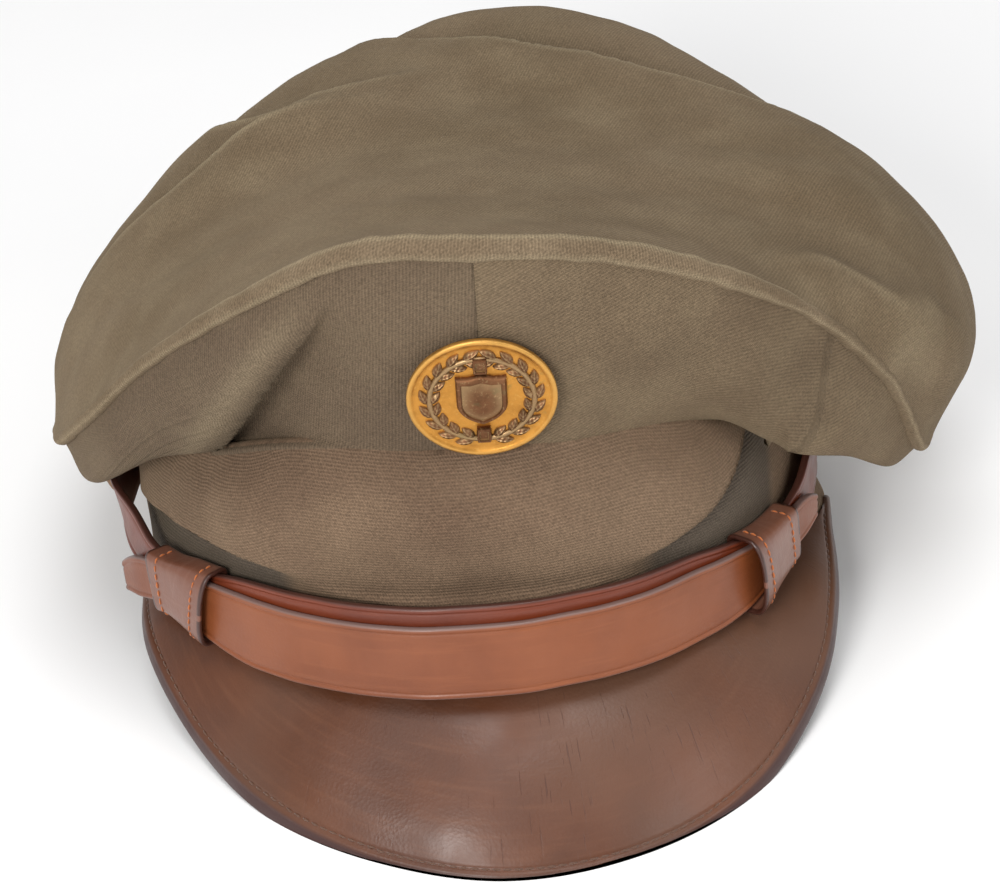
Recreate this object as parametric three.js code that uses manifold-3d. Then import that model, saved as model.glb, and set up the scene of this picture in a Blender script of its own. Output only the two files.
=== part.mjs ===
// Soft crushed cap with a leather peak, a two layer front strap and a disc badge.
// Millimetres, +Z up, front towards -Y. Angles in the tables are degrees round the
// head axis: 0 is the front, +90 is +X, 180 is the back.

import * as THREE from 'three';
import { mergeVertices } from 'three/addons/utils/BufferGeometryUtils.js';
import ManifoldModule from 'manifold-3d';

const wasm = await ManifoldModule();
wasm.setup();

// Overall lean: the peak's front edge and the back of the band rest on the ground.
const LEAN = THREE.MathUtils.degToRad(9.5);
const SETTLE = 1.0;

// Gaps and walls
const GAP = 0.3;
const TOP_WALL = 2.0;
const SIDE_WALL = 2.0;
const BAND_WALL = 2.8;
const VISOR_WALL = 2.2;

// Distance under which two points are one, and the step for tangents in degrees
const MERGE = 1e-4;
const TANGENT_STEP = 0.5;

// Band, an ellipse in plan
const BAND_SHIFT_X = -5.0;
const BAND_HALF_X = 94.5;
const BAND_HALF_Y = 97.0;
const BAND_TUCK = 0.6;

// Crown
const WELT_RADIUS = 2.5;
const CROWN_CENTRE_Z = 117;
const MID_RADIUS = 60;
const CROWN_COLS = 56;
const TOP_ROWS = 14;
const TOP_BIAS = 1.4;
const CURVE_STEPS = 400;
const SIDE_ROWS = 8;
const WELT_SIDES = 6;

// Band, visor, strap and keeper steps
const BAND_ROWS = 6;
const VISOR_COLS = 36;
const VISOR_ROWS = 5;
const VISOR_ARCH = 3.0;
const VISOR_ARCH_RUN = 30;
const VISOR_EDGE_DROP = 1.25;
const VISOR_SEAM_GAP = 0.6;
const VISOR_SEAM_Z = 1.0;
const STRAP_STEPS = 34;
const STRAP_WALL = 2.0;
const STRAP_CORNER = 0.5;
const KEEPER_WALL = 1.4;
const KEEPER_SIDES = 16;
const KEEPER_ROWS = 3;
const KEEPER_SQUARE = 0.35;
const KEEPER_ROUND = 0.75;

// Badge
const BADGE_RADIUS = 19;
const BADGE_WALL = 1.6;
const BADGE_HEIGHT = 83.5;
const BADGE_RIM = 1.2;
const BADGE_STAND_OFF = 0.8;
const BADGE_SUNK = 0.4;
const WREATH_RADIUS = 13.2;
const WREATH_LEAVES = 6;
const LEAF = { start: -62, step: 26, lean: 0.25, length: 4.2, width: 2.3, height: 1.1 };
const STEM = { radius: 0.8, sides: 4, steps: 36 };
const SHIELD = { width: 6.2, height: 7.6, depth: 1.1, bevel: 0.5 };
const TIE = { width: 3.2, height: 7.5, depth: 1.4, rise: 0.4, lowY: -10.2, highY: 10.0 };
const DISC_SIDES = 32;
const BUTTON_RADIUS = 7.5;
const BUTTON_SIDES = 18;

// Rows of numbers as records with named columns
function table(names, rows) {
  return rows.map((row) => Object.fromEntries(names.map((name, i) => [name, row[i]])));
}

// Crown sections, one row per angle: the soft lobe under the rim, the rim seam, the
// shoulder above it, and the top further in.
const CROWN = table(
  ['angle', 'lobeR', 'lobeZ', 'seamR', 'seamZ', 'shoulderR', 'shoulderZ', 'upperR', 'upperZ', 'midZ'],
  [
    [-165, 113, 40, 128, 68, 130, 90, 103, 114, 118],
    [-150, 113, 37, 127, 60, 127, 81, 96, 110, 118],
    [-120, 113, 31, 125, 45, 123, 64, 101, 92, 112],
    [-90, 114, 25, 121, 38, 121, 58, 104, 84, 107],
    [-75, 115, 30, 122, 45, 118, 64, 101, 86, 107],
    [-60, 115, 46, 122, 64, 114, 79, 98, 95, 110],
    [-45, 112, 72, 119, 90, 111, 98, 95, 106, 114],
    [-30, 109, 88, 116, 111, 106, 115, 92, 117, 118],
    [-15, 107, 96, 113.7, 126, 104, 126.5, 90, 124, 120],
    [0, 106, 97, 113, 127, 103, 128, 90, 125.5, 120],
    [15, 107, 95, 113.7, 123.5, 104, 125, 90, 123.5, 120],
    [30, 109, 88, 116, 112, 107, 115.5, 92, 116.5, 117],
    [45, 108, 54, 119, 93, 113, 101, 97, 108, 114],
    [60, 114, 38, 123, 63.5, 126, 82, 104, 101, 113],
    [75, 116, 21.5, 124, 28.5, 136, 62, 108, 101, 112],
    [90, 116, 20, 126, 27, 140, 54, 110, 99, 112],
    [120, 114, 29, 127, 41, 135, 62, 108, 96, 113],
    [150, 113, 37, 128, 60, 131, 83, 105, 113, 117],
    [170, 113, 40, 129, 69, 131, 91, 105, 119, 119],
  ],
);

// Folds in the top panel: a ridge from one plan point to the other, its rise, how far it
// runs out on its front and back side, and the trough behind it.
const FOLDS = table(
  ['x0', 'y0', 'x1', 'y1', 'rise', 'frontRun', 'backRun', 'trough'],
  [
    [-106, 4, -50, 27, 3.5, 16, 7, 4.5],
    [-88, 58, -50, 39, 3.0, 16, 7, 4.5],
    [-50, 39, -22, 44, 2.0, 14, 8, 2.0],
    [-30, 90, 44, 50, 3.5, 18, 8, 5.0],
    [44, 50, 92, 40, 3.0, 18, 8, 5.0],
  ],
);

// Creases pressed into the side panels and the band: a line in space, its depth and run
const CREASES = table(
  ['x0', 'y0', 'z0', 'x1', 'y1', 'z1', 'depth', 'run'],
  [
    [-42, -103, 107, -64, -87, 79, 4.5, 11],
    [-64, -87, 79, -76, -62, 54, 6.0, 11],
    [82, -70, 68, 90, -40, 45, 3.0, 10],
    [-92, -36, 29, -62, -82, 31, 2.5, 9],
    [64, -70, 46, 53, -82, 37, 3.0, 9],
  ],
);

// Band sections by angle: top edge height, how far the cover bulges, and at what height
const BAND = table(
  ['angle', 'topZ', 'bulge', 'bulgeZ'],
  [
    [-150, 46, 1.0, 24],
    [-120, 45, 0.7, 23],
    [-90, 44, 0.3, 20],
    [-70, 46, 0.3, 22],
    [-50, 54, 2.5, 32],
    [-30, 64, 6.5, 44],
    [0, 64, 8.0, 46],
    [30, 62, 6.5, 44],
    [50, 52, 2.5, 32],
    [70, 46, 0.3, 24],
    [90, 44, 0.3, 22],
    [150, 46, 1.0, 24],
  ],
);

// Outer edge of the peak by angle
const VISOR = table(
  ['angle', 'r', 'z'],
  [
    [-80, 101.5, -3.5],
    [-72, 105.6, -6.0],
    [-66, 109.0, -6.8],
    [-60, 112.2, -8.5],
    [-52, 115.4, -14.8],
    [-45, 117.8, -22.0],
    [-30, 126.0, -30.5],
    [-15, 132.2, -36.8],
    [0, 137.0, -39.0],
    [15, 134.5, -38.2],
    [30, 128.5, -32.5],
    [45, 119.5, -20.0],
    [52, 114.6, -14.0],
    [60, 108.5, -8.0],
    [70, 102.2, -4.5],
    [78, 98.8, -2.2],
    [86, 97.8, -0.8],
  ],
);

// How far the band's lower edge flares out beside the visor's right end
const FLARE = table(
  ['angle', 'out'],
  [
    [60, 0],
    [72, 2.0],
    [80, 5.6],
    [88, 7.0],
    [98, 5.0],
    [112, 0],
  ],
);

// Middle line of the outer strap by angle, tail end to tail end. Twist leans the upper
// edge of the strap inward, in degrees.
const STRAP_OUTER = table(
  ['angle', 'r', 'z', 'width', 'twist'],
  [
    [-67.5, 111.0, 6.6, 8.5, 0],
    [-64, 110.4, 9.4, 11.5, 0],
    [-60, 109.5, 11.6, 12, 0],
    [-54.5, 108.6, 13.4, 12, 0],
    [-50, 107.9, 13.0, 15, 0],
    [-45, 107.4, 11.2, 18, 0],
    [-39, 107.5, 10.0, 20.5, 0],
    [-32, 108.2, 9.7, 21, 0],
    [-22, 109.1, 9.8, 21, 0],
    [-13, 109.6, 10.0, 21, 0],
    [-2, 109.3, 10.6, 21, 0],
    [9, 108.0, 11.1, 21, 0],
    [21, 105.2, 10.9, 21, 0],
    [32, 101.6, 10.8, 21, 0],
    [42, 100.2, 11.7, 18.5, 0],
    [49, 99.1, 13.6, 14.5, 0],
    [56, 98.3, 15.4, 12, 0],
    [62, 98.1, 15.8, 11, 0],
    [66, 98.2, 15.2, 7, 0],
  ],
);

// Middle line of the inner strap, button to button
const STRAP_INNER = table(
  ['angle', 'r', 'z', 'width', 'twist'],
  [
    [-92, 103.6, 21.6, 13, 18],
    [-84, 105.3, 22.2, 13, 20],
    [-76, 107.4, 22.3, 13, 12],
    [-68, 107.2, 19, 12.5, -6],
    [-62, 106.8, 15.6, 12, -2],
    [-54.5, 106.2, 13.8, 12, 0],
    [-50, 105.5, 13.6, 15, 0],
    [-45, 105.0, 13.0, 18, 0],
    [-39, 105.1, 13.4, 20.5, 0],
    [-32, 105.8, 13.8, 21, 0],
    [-22, 106.7, 14.2, 21, 0],
    [-13, 107.2, 14.6, 21, 0],
    [-2, 106.9, 15.2, 21, 0],
    [9, 105.6, 15.4, 21, 0],
    [21, 102.8, 15.0, 21, 0],
    [32, 99.2, 14.2, 21, 0],
    [42, 97.8, 13.4, 18.5, 0],
    [49, 96.7, 14.0, 14.5, 0],
    [56, 95.9, 15.8, 12, 0],
    [63, 95.4, 18.4, 12, 0],
    [71, 94.2, 20.4, 17, 0],
    [80, 93.4, 20.9, 15.6, 0],
    [88, 93.0, 20.6, 15.4, 0],
    [97, 92.6, 19.6, 15.4, 0],
  ],
);

// Leather loops: the end towards the tail, the open mouth, the room inside them in front
// of the straps at both ends, and the room above and below the straps
const KEEPERS = [
  { name: 'keeper_left', tail: -57, mouth: -45.5, tailRoom: 0.9, mouthRoom: 2.6, edgeRoom: 0.9 },
  { name: 'keeper_right', tail: 55.5, mouth: 42.5, tailRoom: 0.8, mouthRoom: 4.8, edgeRoom: 0.9 },
];

const BUTTONS = [
  { name: 'side_button_left', angle: -87 },
  { name: 'side_button_right', angle: 90 },
];

const LOOKS = {
  olive_cloth: { color: 0x6b6047, roughness: 0.95, metalness: 0 },
  band_cloth: { color: 0x62553f, roughness: 0.95, metalness: 0 },
  visor_leather: { color: 0x54281a, roughness: 0.45, metalness: 0 },
  strap_leather: { color: 0x5a2f20, roughness: 0.5, metalness: 0 },
  brass: { color: 0xb4842f, roughness: 0.45, metalness: 0.9 },
  dark_bronze: { color: 0x4a2f1c, roughness: 0.55, metalness: 0.7 },
};

// Table lookup

// Value of one named column at an angle, with a smooth curve through the rows.
function column(rows, key, angle, wraps) {
  const count = rows.length;
  const rowAt = (i) => {
    if (!wraps) {
      const row = rows[THREE.MathUtils.clamp(i, 0, count - 1)];
      return { angle: row.angle, value: row[key] };
    }
    const turns = Math.floor(i / count);
    const row = rows[i - turns * count];
    return { angle: row.angle + 360 * turns, value: row[key] };
  };
  let at = angle;
  if (wraps) {
    at = THREE.MathUtils.euclideanModulo(angle - rows[0].angle, 360) + rows[0].angle;
  } else {
    at = THREE.MathUtils.clamp(angle, rows[0].angle, rows[count - 1].angle);
  }
  let i = 0;
  while (i < (wraps ? count - 1 : count - 2) && rowAt(i + 1).angle <= at) {
    i += 1;
  }
  const [before, start, end, after] = [rowAt(i - 1), rowAt(i), rowAt(i + 1), rowAt(i + 2)];
  const slope = (a, b) => (b.angle === a.angle ? 0 : (b.value - a.value) / (b.angle - a.angle));
  const span = end.angle - start.angle;
  const t = (at - start.angle) / span;
  const own = slope(start, end);
  const startSlope = before.angle === start.angle ? own : 0.5 * (slope(before, start) + own);
  const endSlope = after.angle === end.angle ? own : 0.5 * (own + slope(end, after));
  const t2 = t * t;
  const t3 = t2 * t;
  return (2 * t3 - 3 * t2 + 1) * start.value + (t3 - 2 * t2 + t) * span * startSlope
    + (3 * t2 - 2 * t3) * end.value + (t3 - t2) * span * endSlope;
}

function polar(angle, r, z) {
  const a = THREE.MathUtils.degToRad(angle);
  return new THREE.Vector3(r * Math.sin(a), -r * Math.cos(a), z);
}

// Radius of the band's outer face about the head axis, at an angle.
function bandRadius(angle) {
  const a = THREE.MathUtils.degToRad(angle);
  const ux = Math.sin(a) / BAND_HALF_X;
  const uy = Math.cos(a) / BAND_HALF_Y;
  const sx = BAND_SHIFT_X / BAND_HALF_X;
  const qa = ux * ux + uy * uy;
  const qb = -2 * ux * sx;
  const qc = sx * sx - 1;
  return (-qb + Math.sqrt(qb * qb - 4 * qa * qc)) / (2 * qa);
}

function bandFlare(angle) {
  return column(FLARE, 'out', angle, false);
}

// Points at shares of the length of a smooth curve through 2D points. The curve stops
// short of its last point by a distance.
function profilePoints(points, shares, short = 0) {
  const curve = new THREE.CatmullRomCurve3(
    points.map(([r, z]) => new THREE.Vector3(r, 0, z)), false, 'centripetal');
  const end = curve.getPoint(1);
  const line = [];
  for (const p of curve.getPoints(CURVE_STEPS)) {
    if (p.distanceTo(end) >= short) {
      line.push(p);
    }
  }
  const lengths = [0];
  for (let i = 1; i < line.length; i += 1) {
    lengths.push(lengths[i - 1] + line[i].distanceTo(line[i - 1]));
  }
  const total = lengths[lengths.length - 1];
  return shares.map((share) => {
    let i = 0;
    while (i < line.length - 2 && lengths[i + 1] < share * total) {
      i += 1;
    }
    const t = (share * total - lengths[i]) / (lengths[i + 1] - lengths[i]);
    const p = line[i].clone().lerp(line[i + 1], t);
    return [p.x, p.z];
  });
}

// Shares from 0 to 1, closer together towards 1 the larger the bias
function rowShares(rows, bias) {
  const shares = [];
  for (let i = 0; i <= rows; i += 1) {
    shares.push(1 - (1 - i / rows) ** bias);
  }
  return shares;
}

// Solids from point grids

// A solid from an outer and an inner grid of points, grid[row][col]. With closed
// columns the grid goes right round; with a pole its first row is a single point. Each
// cell is split along its shorter diagonal.
function slab(outer, inner, { closed = false, pole = false } = {}) {
  const rows = outer.length;
  const cols = outer[0].length;
  const positions = [];
  for (const grid of [outer, inner]) {
    for (const row of grid) {
      for (const p of row) {
        positions.push(p.x, p.y, p.z);
      }
    }
  }
  const at = (i, j) => outer[pole && i === 0 ? 0 : i][pole && i === 0 ? 0 : j % cols];
  const half = rows * cols;
  const id = (layer, i, j) => layer * half + (pole && i === 0 ? 0 : i * cols + (j % cols));
  const indices = [];
  const face = (a, b, c, d) => {
    if (a !== b && b !== c && a !== c) {
      indices.push(a, b, c);
    }
    if (a !== c && c !== d && a !== d) {
      indices.push(a, c, d);
    }
  };
  const lastCol = closed ? cols : cols - 1;
  for (let i = 0; i < rows - 1; i += 1) {
    for (let j = 0; j < lastCol; j += 1) {
      const down = at(i, j).distanceTo(at(i + 1, j + 1));
      const across = at(i + 1, j).distanceTo(at(i, j + 1));
      if (down <= across) {
        face(id(0, i, j), id(0, i + 1, j), id(0, i + 1, j + 1), id(0, i, j + 1));
        face(id(1, i, j), id(1, i, j + 1), id(1, i + 1, j + 1), id(1, i + 1, j));
      } else {
        face(id(0, i + 1, j), id(0, i + 1, j + 1), id(0, i, j + 1), id(0, i, j));
        face(id(1, i + 1, j), id(1, i, j), id(1, i, j + 1), id(1, i + 1, j + 1));
      }
    }
  }
  for (let j = 0; j < lastCol; j += 1) {
    if (!pole) {
      face(id(0, 0, j), id(0, 0, j + 1), id(1, 0, j + 1), id(1, 0, j));
    }
    const e = rows - 1;
    face(id(0, e, j), id(1, e, j), id(1, e, j + 1), id(0, e, j + 1));
  }
  if (!closed) {
    const e = cols - 1;
    for (let i = 0; i < rows - 1; i += 1) {
      face(id(0, i, 0), id(1, i, 0), id(1, i + 1, 0), id(0, i + 1, 0));
      face(id(0, i, e), id(0, i + 1, e), id(1, i + 1, e), id(1, i, e));
    }
  }
  const geometry = new THREE.BufferGeometry();
  geometry.setAttribute('position', new THREE.Float32BufferAttribute(positions, 3));
  geometry.setIndex(indices);
  return facingOut(compact(geometry));
}

// Joins equal points.
function compact(geometry) {
  geometry.deleteAttribute('normal');
  geometry.deleteAttribute('uv');
  return mergeVertices(geometry, MERGE);
}

function signedVolume(geometry) {
  const position = geometry.getAttribute('position');
  const index = geometry.getIndex();
  const a = new THREE.Vector3();
  const b = new THREE.Vector3();
  const c = new THREE.Vector3();
  let volume = 0;
  for (let i = 0; i < index.count; i += 3) {
    a.fromBufferAttribute(position, index.getX(i));
    b.fromBufferAttribute(position, index.getX(i + 1));
    c.fromBufferAttribute(position, index.getX(i + 2));
    volume += a.dot(b.cross(c)) / 6;
  }
  return volume;
}

function facingOut(geometry) {
  if (signedVolume(geometry) < 0) {
    const index = geometry.getIndex();
    for (let i = 0; i < index.count; i += 3) {
      const b = index.getX(i + 1);
      index.setX(i + 1, index.getX(i + 2));
      index.setX(i + 2, b);
    }
  }
  return geometry;
}

// Grid moved along its own normals. The direction is set by the sign of distance.
function offsetGrid(grid, distance, closed, pole) {
  const rows = grid.length;
  const cols = grid[0].length;
  const at = (i, j) => {
    const col = closed ? (j + cols) % cols : THREE.MathUtils.clamp(j, 0, cols - 1);
    return grid[THREE.MathUtils.clamp(i, 0, rows - 1)][col];
  };
  const poleNormal = new THREE.Vector3(0, 0, 1);
  return grid.map((row, i) => row.map((p, j) => {
    let normal = poleNormal;
    if (!(pole && i === 0)) {
      const along = at(i + 1, j).clone().sub(at(i - 1, j));
      const across = at(i, j + 1).clone().sub(at(i, j - 1));
      normal = along.cross(across).normalize();
    }
    return p.clone().addScaledVector(normal, distance);
  }));
}

function toManifold(geometry) {
  return new wasm.Manifold(new wasm.Mesh({
    numProp: 3,
    vertProperties: new Float32Array(geometry.getAttribute('position').array),
    triVerts: new Uint32Array(geometry.getIndex().array),
  }));
}

function fromManifold(solid) {
  const mesh = solid.getMesh();
  const geometry = new THREE.BufferGeometry();
  geometry.setAttribute('position', new THREE.Float32BufferAttribute(mesh.vertProperties, 3));
  geometry.setIndex(Array.from(mesh.triVerts));
  return compact(geometry);
}

// Crown

function foldRise(x, y) {
  let rise = 0;
  for (const fold of FOLDS) {
    const dx = fold.x1 - fold.x0;
    const dy = fold.y1 - fold.y0;
    const length = Math.hypot(dx, dy);
    const along = ((x - fold.x0) * dx + (y - fold.y0) * dy) / (length * length);
    const across = ((y - fold.y0) * dx - (x - fold.x0) * dy) / length;
    const ends = THREE.MathUtils.smoothstep(along, -0.2, 0.15)
      * (1 - THREE.MathUtils.smoothstep(along, 0.85, 1.2));
    const front = fold.rise * Math.exp(-((across / fold.frontRun) ** 2));
    const back = (fold.rise + fold.trough) * Math.exp(-((across / fold.backRun) ** 2))
      - fold.trough * Math.exp(-((across / (3 * fold.backRun)) ** 2));
    rise += ends * (across < 0 ? front : back);
  }
  return rise;
}

// How deep the creases press a point in
function creaseDepth(p) {
  let depth = 0;
  for (const crease of CREASES) {
    const start = new THREE.Vector3(crease.x0, crease.y0, crease.z0);
    const end = new THREE.Vector3(crease.x1, crease.y1, crease.z1);
    const near = new THREE.Line3(start, end).closestPointToPoint(p, true, new THREE.Vector3());
    depth = Math.max(depth, crease.depth * Math.exp(-((near.distanceTo(p) / crease.run) ** 2)));
  }
  return depth;
}

// Moves a point towards the head axis by the creases, less near the edges of its panel.
function pressed(p, share) {
  const radius = Math.hypot(p.x, p.y);
  const left = (radius - share * creaseDepth(p)) / radius;
  return new THREE.Vector3(p.x * left, p.y * left, p.z);
}

// Share of a crease that a row may take: none at both edges of a panel
function edgeShare(row, rows) {
  return Math.sin((Math.PI * row) / rows) ** 0.5;
}

function crownRow(angle) {
  const row = {};
  for (const key of Object.keys(CROWN[0])) {
    row[key] = column(CROWN, key, angle, true);
  }
  return row;
}

function junctionPoint(angle) {
  return [bandRadius(angle) - BAND_TUCK, column(BAND, 'topZ', angle, true)];
}

function topProfile(angle) {
  const row = crownRow(angle);
  const points = [
    [0, CROWN_CENTRE_Z],
    [MID_RADIUS, row.midZ],
    [row.upperR, row.upperZ],
    [row.shoulderR, row.shoulderZ],
    [row.seamR, row.seamZ],
  ];
  return profilePoints(points, rowShares(TOP_ROWS, TOP_BIAS), WELT_RADIUS + GAP);
}

function sideProfile(angle) {
  const row = crownRow(angle);
  const [junctionR, junctionZ] = junctionPoint(angle);
  const points = [
    [junctionR, junctionZ + GAP],
    [row.lobeR, row.lobeZ],
    [row.seamR, row.seamZ],
  ];
  return profilePoints(points, rowShares(SIDE_ROWS, 1), WELT_RADIUS + GAP);
}

function buildCrownTop() {
  const outer = [];
  for (let i = 0; i <= TOP_ROWS; i += 1) {
    outer.push([]);
  }
  for (let j = 0; j < CROWN_COLS; j += 1) {
    const angle = -180 + (360 * j) / CROWN_COLS;
    topProfile(angle).forEach(([r, z], i) => {
      const p = polar(angle, r, z);
      p.z += foldRise(p.x, p.y) * (1 - THREE.MathUtils.smoothstep(i, TOP_ROWS - 3, TOP_ROWS));
      outer[i].push(p);
    });
  }
  return slab(outer, offsetGrid(outer, -TOP_WALL, true, true), { closed: true, pole: true });
}

// One half of the side of the crown, from the front seam to the back seam
function buildCrownSide(direction) {
  const outer = [];
  for (let i = 0; i <= SIDE_ROWS; i += 1) {
    outer.push([]);
  }
  const half = CROWN_COLS / 2;
  for (let j = 0; j <= half; j += 1) {
    const angle = direction * ((180 * j) / half);
    sideProfile(angle).forEach(([r, z], i) => {
      const p = pressed(polar(angle, r, z), edgeShare(i, SIDE_ROWS));
      if (j === 0 || j === half) {
        p.x = direction * 0.5 * GAP;
      }
      outer[i].push(p);
    });
  }
  return slab(outer, offsetGrid(outer, direction * SIDE_WALL, false, false));
}

function buildWelt() {
  const rows = [];
  for (let j = 0; j < CROWN_COLS; j += 1) {
    const angle = -180 + (360 * j) / CROWN_COLS;
    const row = crownRow(angle);
    const section = [];
    for (let k = 0; k < WELT_SIDES; k += 1) {
      const turn = (2 * Math.PI * k) / WELT_SIDES;
      section.push(polar(angle, row.seamR + WELT_RADIUS * Math.cos(turn),
        row.seamZ + WELT_RADIUS * Math.sin(turn)));
    }
    rows.push(section);
  }
  return ringTube(rows);
}

// A closed tube from sections that go right round
function ringTube(sections) {
  const positions = [];
  const indices = [];
  const count = sections.length;
  const sides = sections[0].length;
  sections.forEach((section) => section.forEach((p) => positions.push(p.x, p.y, p.z)));
  for (let j = 0; j < count; j += 1) {
    for (let k = 0; k < sides; k += 1) {
      const a = j * sides + k;
      const b = ((j + 1) % count) * sides + k;
      const c = ((j + 1) % count) * sides + ((k + 1) % sides);
      const d = j * sides + ((k + 1) % sides);
      indices.push(a, b, c, a, c, d);
    }
  }
  const geometry = new THREE.BufferGeometry();
  geometry.setAttribute('position', new THREE.Float32BufferAttribute(positions, 3));
  geometry.setIndex(indices);
  return facingOut(compact(geometry));
}

// Band

function buildBand() {
  const outer = [];
  const inner = [];
  for (let i = 0; i <= BAND_ROWS; i += 1) {
    outer.push([]);
    inner.push([]);
  }
  for (let j = 0; j < CROWN_COLS; j += 1) {
    const angle = -180 + (360 * j) / CROWN_COLS;
    const r = bandRadius(angle);
    const topZ = column(BAND, 'topZ', angle, true);
    const bulge = column(BAND, 'bulge', angle, true);
    const bulgeZ = column(BAND, 'bulgeZ', angle, true);
    const flare = bandFlare(angle);
    const profile = profilePoints([[r + flare, 0],
      [r + 0.35 * bulge + 0.4 * flare, 0.4 * bulgeZ], [r + bulge, bulgeZ],
      [r + 0.7 * bulge, 0.5 * (bulgeZ + topZ)], [r - BAND_TUCK, topZ]], rowShares(BAND_ROWS, 1));
    profile.forEach(([pr, pz], i) => {
      const share = edgeShare(i, BAND_ROWS);
      outer[i].push(pressed(polar(angle, pr, pz), share));
      inner[i].push(pressed(polar(angle, pr - BAND_WALL, pz), share));
    });
  }
  return slab(outer, inner, { closed: true });
}

// Visor: a curved sheet from the foot of the band to its outer edge

function visorPoint(angle, t) {
  const r0 = bandRadius(angle) + bandFlare(angle) + VISOR_SEAM_GAP;
  const z0 = VISOR_SEAM_Z;
  const r1 = column(VISOR, 'r', angle, false);
  const z1 = column(VISOR, 'z', angle, false);
  const arch = VISOR_ARCH * Math.min(1, (r1 - r0) / VISOR_ARCH_RUN) * 4 * t * (1 - t) * Math.SQRT1_2;
  return polar(angle, THREE.MathUtils.lerp(r0, r1, t) + arch,
    THREE.MathUtils.lerp(z0, z1, t) + arch);
}

function buildVisor() {
  const outer = [];
  const first = VISOR[0].angle;
  const last = VISOR[VISOR.length - 1].angle;
  for (let i = 0; i <= VISOR_ROWS; i += 1) {
    const row = [];
    for (let j = 0; j <= VISOR_COLS; j += 1) {
      const angle = THREE.MathUtils.lerp(first, last, j / VISOR_COLS);
      row.push(visorPoint(angle, i / VISOR_ROWS));
    }
    outer.push(row);
  }
  const inner = outer.map((row) => row.map((p) => {
    const q = p.clone();
    q.z -= VISOR_WALL * VISOR_EDGE_DROP;
    return q;
  }));
  return slab(outer, inner);
}

// Straps

// Middle point of a strap at an angle, with its outward and upward directions
function strapFrame(rows, angle) {
  const at = (a) => polar(a, column(rows, 'r', a, false), column(rows, 'z', a, false));
  const centre = at(angle);
  const along = at(angle + TANGENT_STEP).sub(at(angle - TANGENT_STEP)).normalize();
  const out = new THREE.Vector3().crossVectors(along, new THREE.Vector3(0, 0, 1)).normalize();
  const twist = THREE.MathUtils.degToRad(column(rows, 'twist', angle, false));
  out.applyAxisAngle(along, twist);
  const up = new THREE.Vector3().crossVectors(out, along).normalize();
  return { centre, out, up };
}

function buildStrap(rows) {
  const first = rows[0].angle;
  const last = rows[rows.length - 1].angle;
  const w = STRAP_WALL / 2;
  const c = STRAP_CORNER;
  const sections = [];
  for (let j = 0; j <= STRAP_STEPS; j += 1) {
    const angle = THREE.MathUtils.lerp(first, last, j / STRAP_STEPS);
    const frame = strapFrame(rows, angle);
    const h = 0.5 * column(rows, 'width', angle, false);
    const outline = [[w, h - c], [w - c, h], [c - w, h], [-w, h - c], [-w, c - h], [c - w, -h],
      [w - c, -h], [w, c - h]];
    sections.push(outline.map(([a, b]) => frame.centre.clone()
      .addScaledVector(frame.out, a).addScaledVector(frame.up, b)));
  }
  return cappedTube(sections);
}

// A tube from open ended sections, with flat caps
function cappedTube(sections) {
  const positions = [];
  const indices = [];
  const sides = sections[0].length;
  sections.forEach((section) => section.forEach((p) => positions.push(p.x, p.y, p.z)));
  for (let j = 0; j < sections.length - 1; j += 1) {
    for (let k = 0; k < sides; k += 1) {
      const a = j * sides + k;
      const b = a + sides;
      const d = j * sides + ((k + 1) % sides);
      const e = d + sides;
      indices.push(a, b, e, a, e, d);
    }
  }
  const end = (sections.length - 1) * sides;
  for (let k = 1; k < sides - 1; k += 1) {
    indices.push(0, k, k + 1);
    indices.push(end, end + k + 1, end + k);
  }
  const geometry = new THREE.BufferGeometry();
  geometry.setAttribute('position', new THREE.Float32BufferAttribute(positions, 3));
  geometry.setIndex(indices);
  return facingOut(compact(geometry));
}

// A loop round both straps, wider at its mouth
function buildKeeper({ tail, mouth, tailRoom, mouthRoom, edgeRoom }) {
  const outer = [];
  const inner = [];
  for (let i = 0; i <= KEEPER_ROWS; i += 1) {
    const t = i / KEEPER_ROWS;
    const angle = THREE.MathUtils.lerp(tail, mouth, t);
    const frame = strapFrame(STRAP_OUTER, angle);
    const back = strapFrame(STRAP_INNER, angle);
    const room = THREE.MathUtils.lerp(tailRoom, mouthRoom, t * t);
    const rise = back.centre.clone().sub(frame.centre).dot(frame.up);
    const depth = frame.centre.clone().sub(back.centre).dot(frame.out);
    const flare = 0.5 * (room - tailRoom);
    const centre = frame.centre.clone().addScaledVector(frame.out, flare - 0.5 * depth)
      .addScaledVector(frame.up, 0.5 * rise);
    const halfOut = 0.5 * (depth + STRAP_WALL) + tailRoom + flare;
    const width = column(STRAP_OUTER, 'width', angle, false);
    const halfUp = 0.5 * (width + Math.abs(rise)) + edgeRoom;
    const ring = (grow) => {
      const points = [];
      for (let k = 0; k < KEEPER_SIDES; k += 1) {
        const a = (2 * Math.PI * k) / KEEPER_SIDES;
        const ca = Math.cos(a);
        const sa = Math.sin(a);
        const round = ca > 0 ? THREE.MathUtils.lerp(KEEPER_SQUARE, KEEPER_ROUND, t) : KEEPER_SQUARE;
        const cu = Math.sign(ca) * Math.abs(ca) ** round;
        const su = Math.sign(sa) * Math.abs(sa) ** round;
        points.push(centre.clone().addScaledVector(frame.out, (halfOut + grow) * cu)
          .addScaledVector(frame.up, (halfUp + grow) * su));
      }
      return points;
    };
    outer.push(ring(KEEPER_WALL));
    inner.push(ring(0));
  }
  return slab(outer, inner, { closed: true });
}

// Badge and buttons

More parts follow.
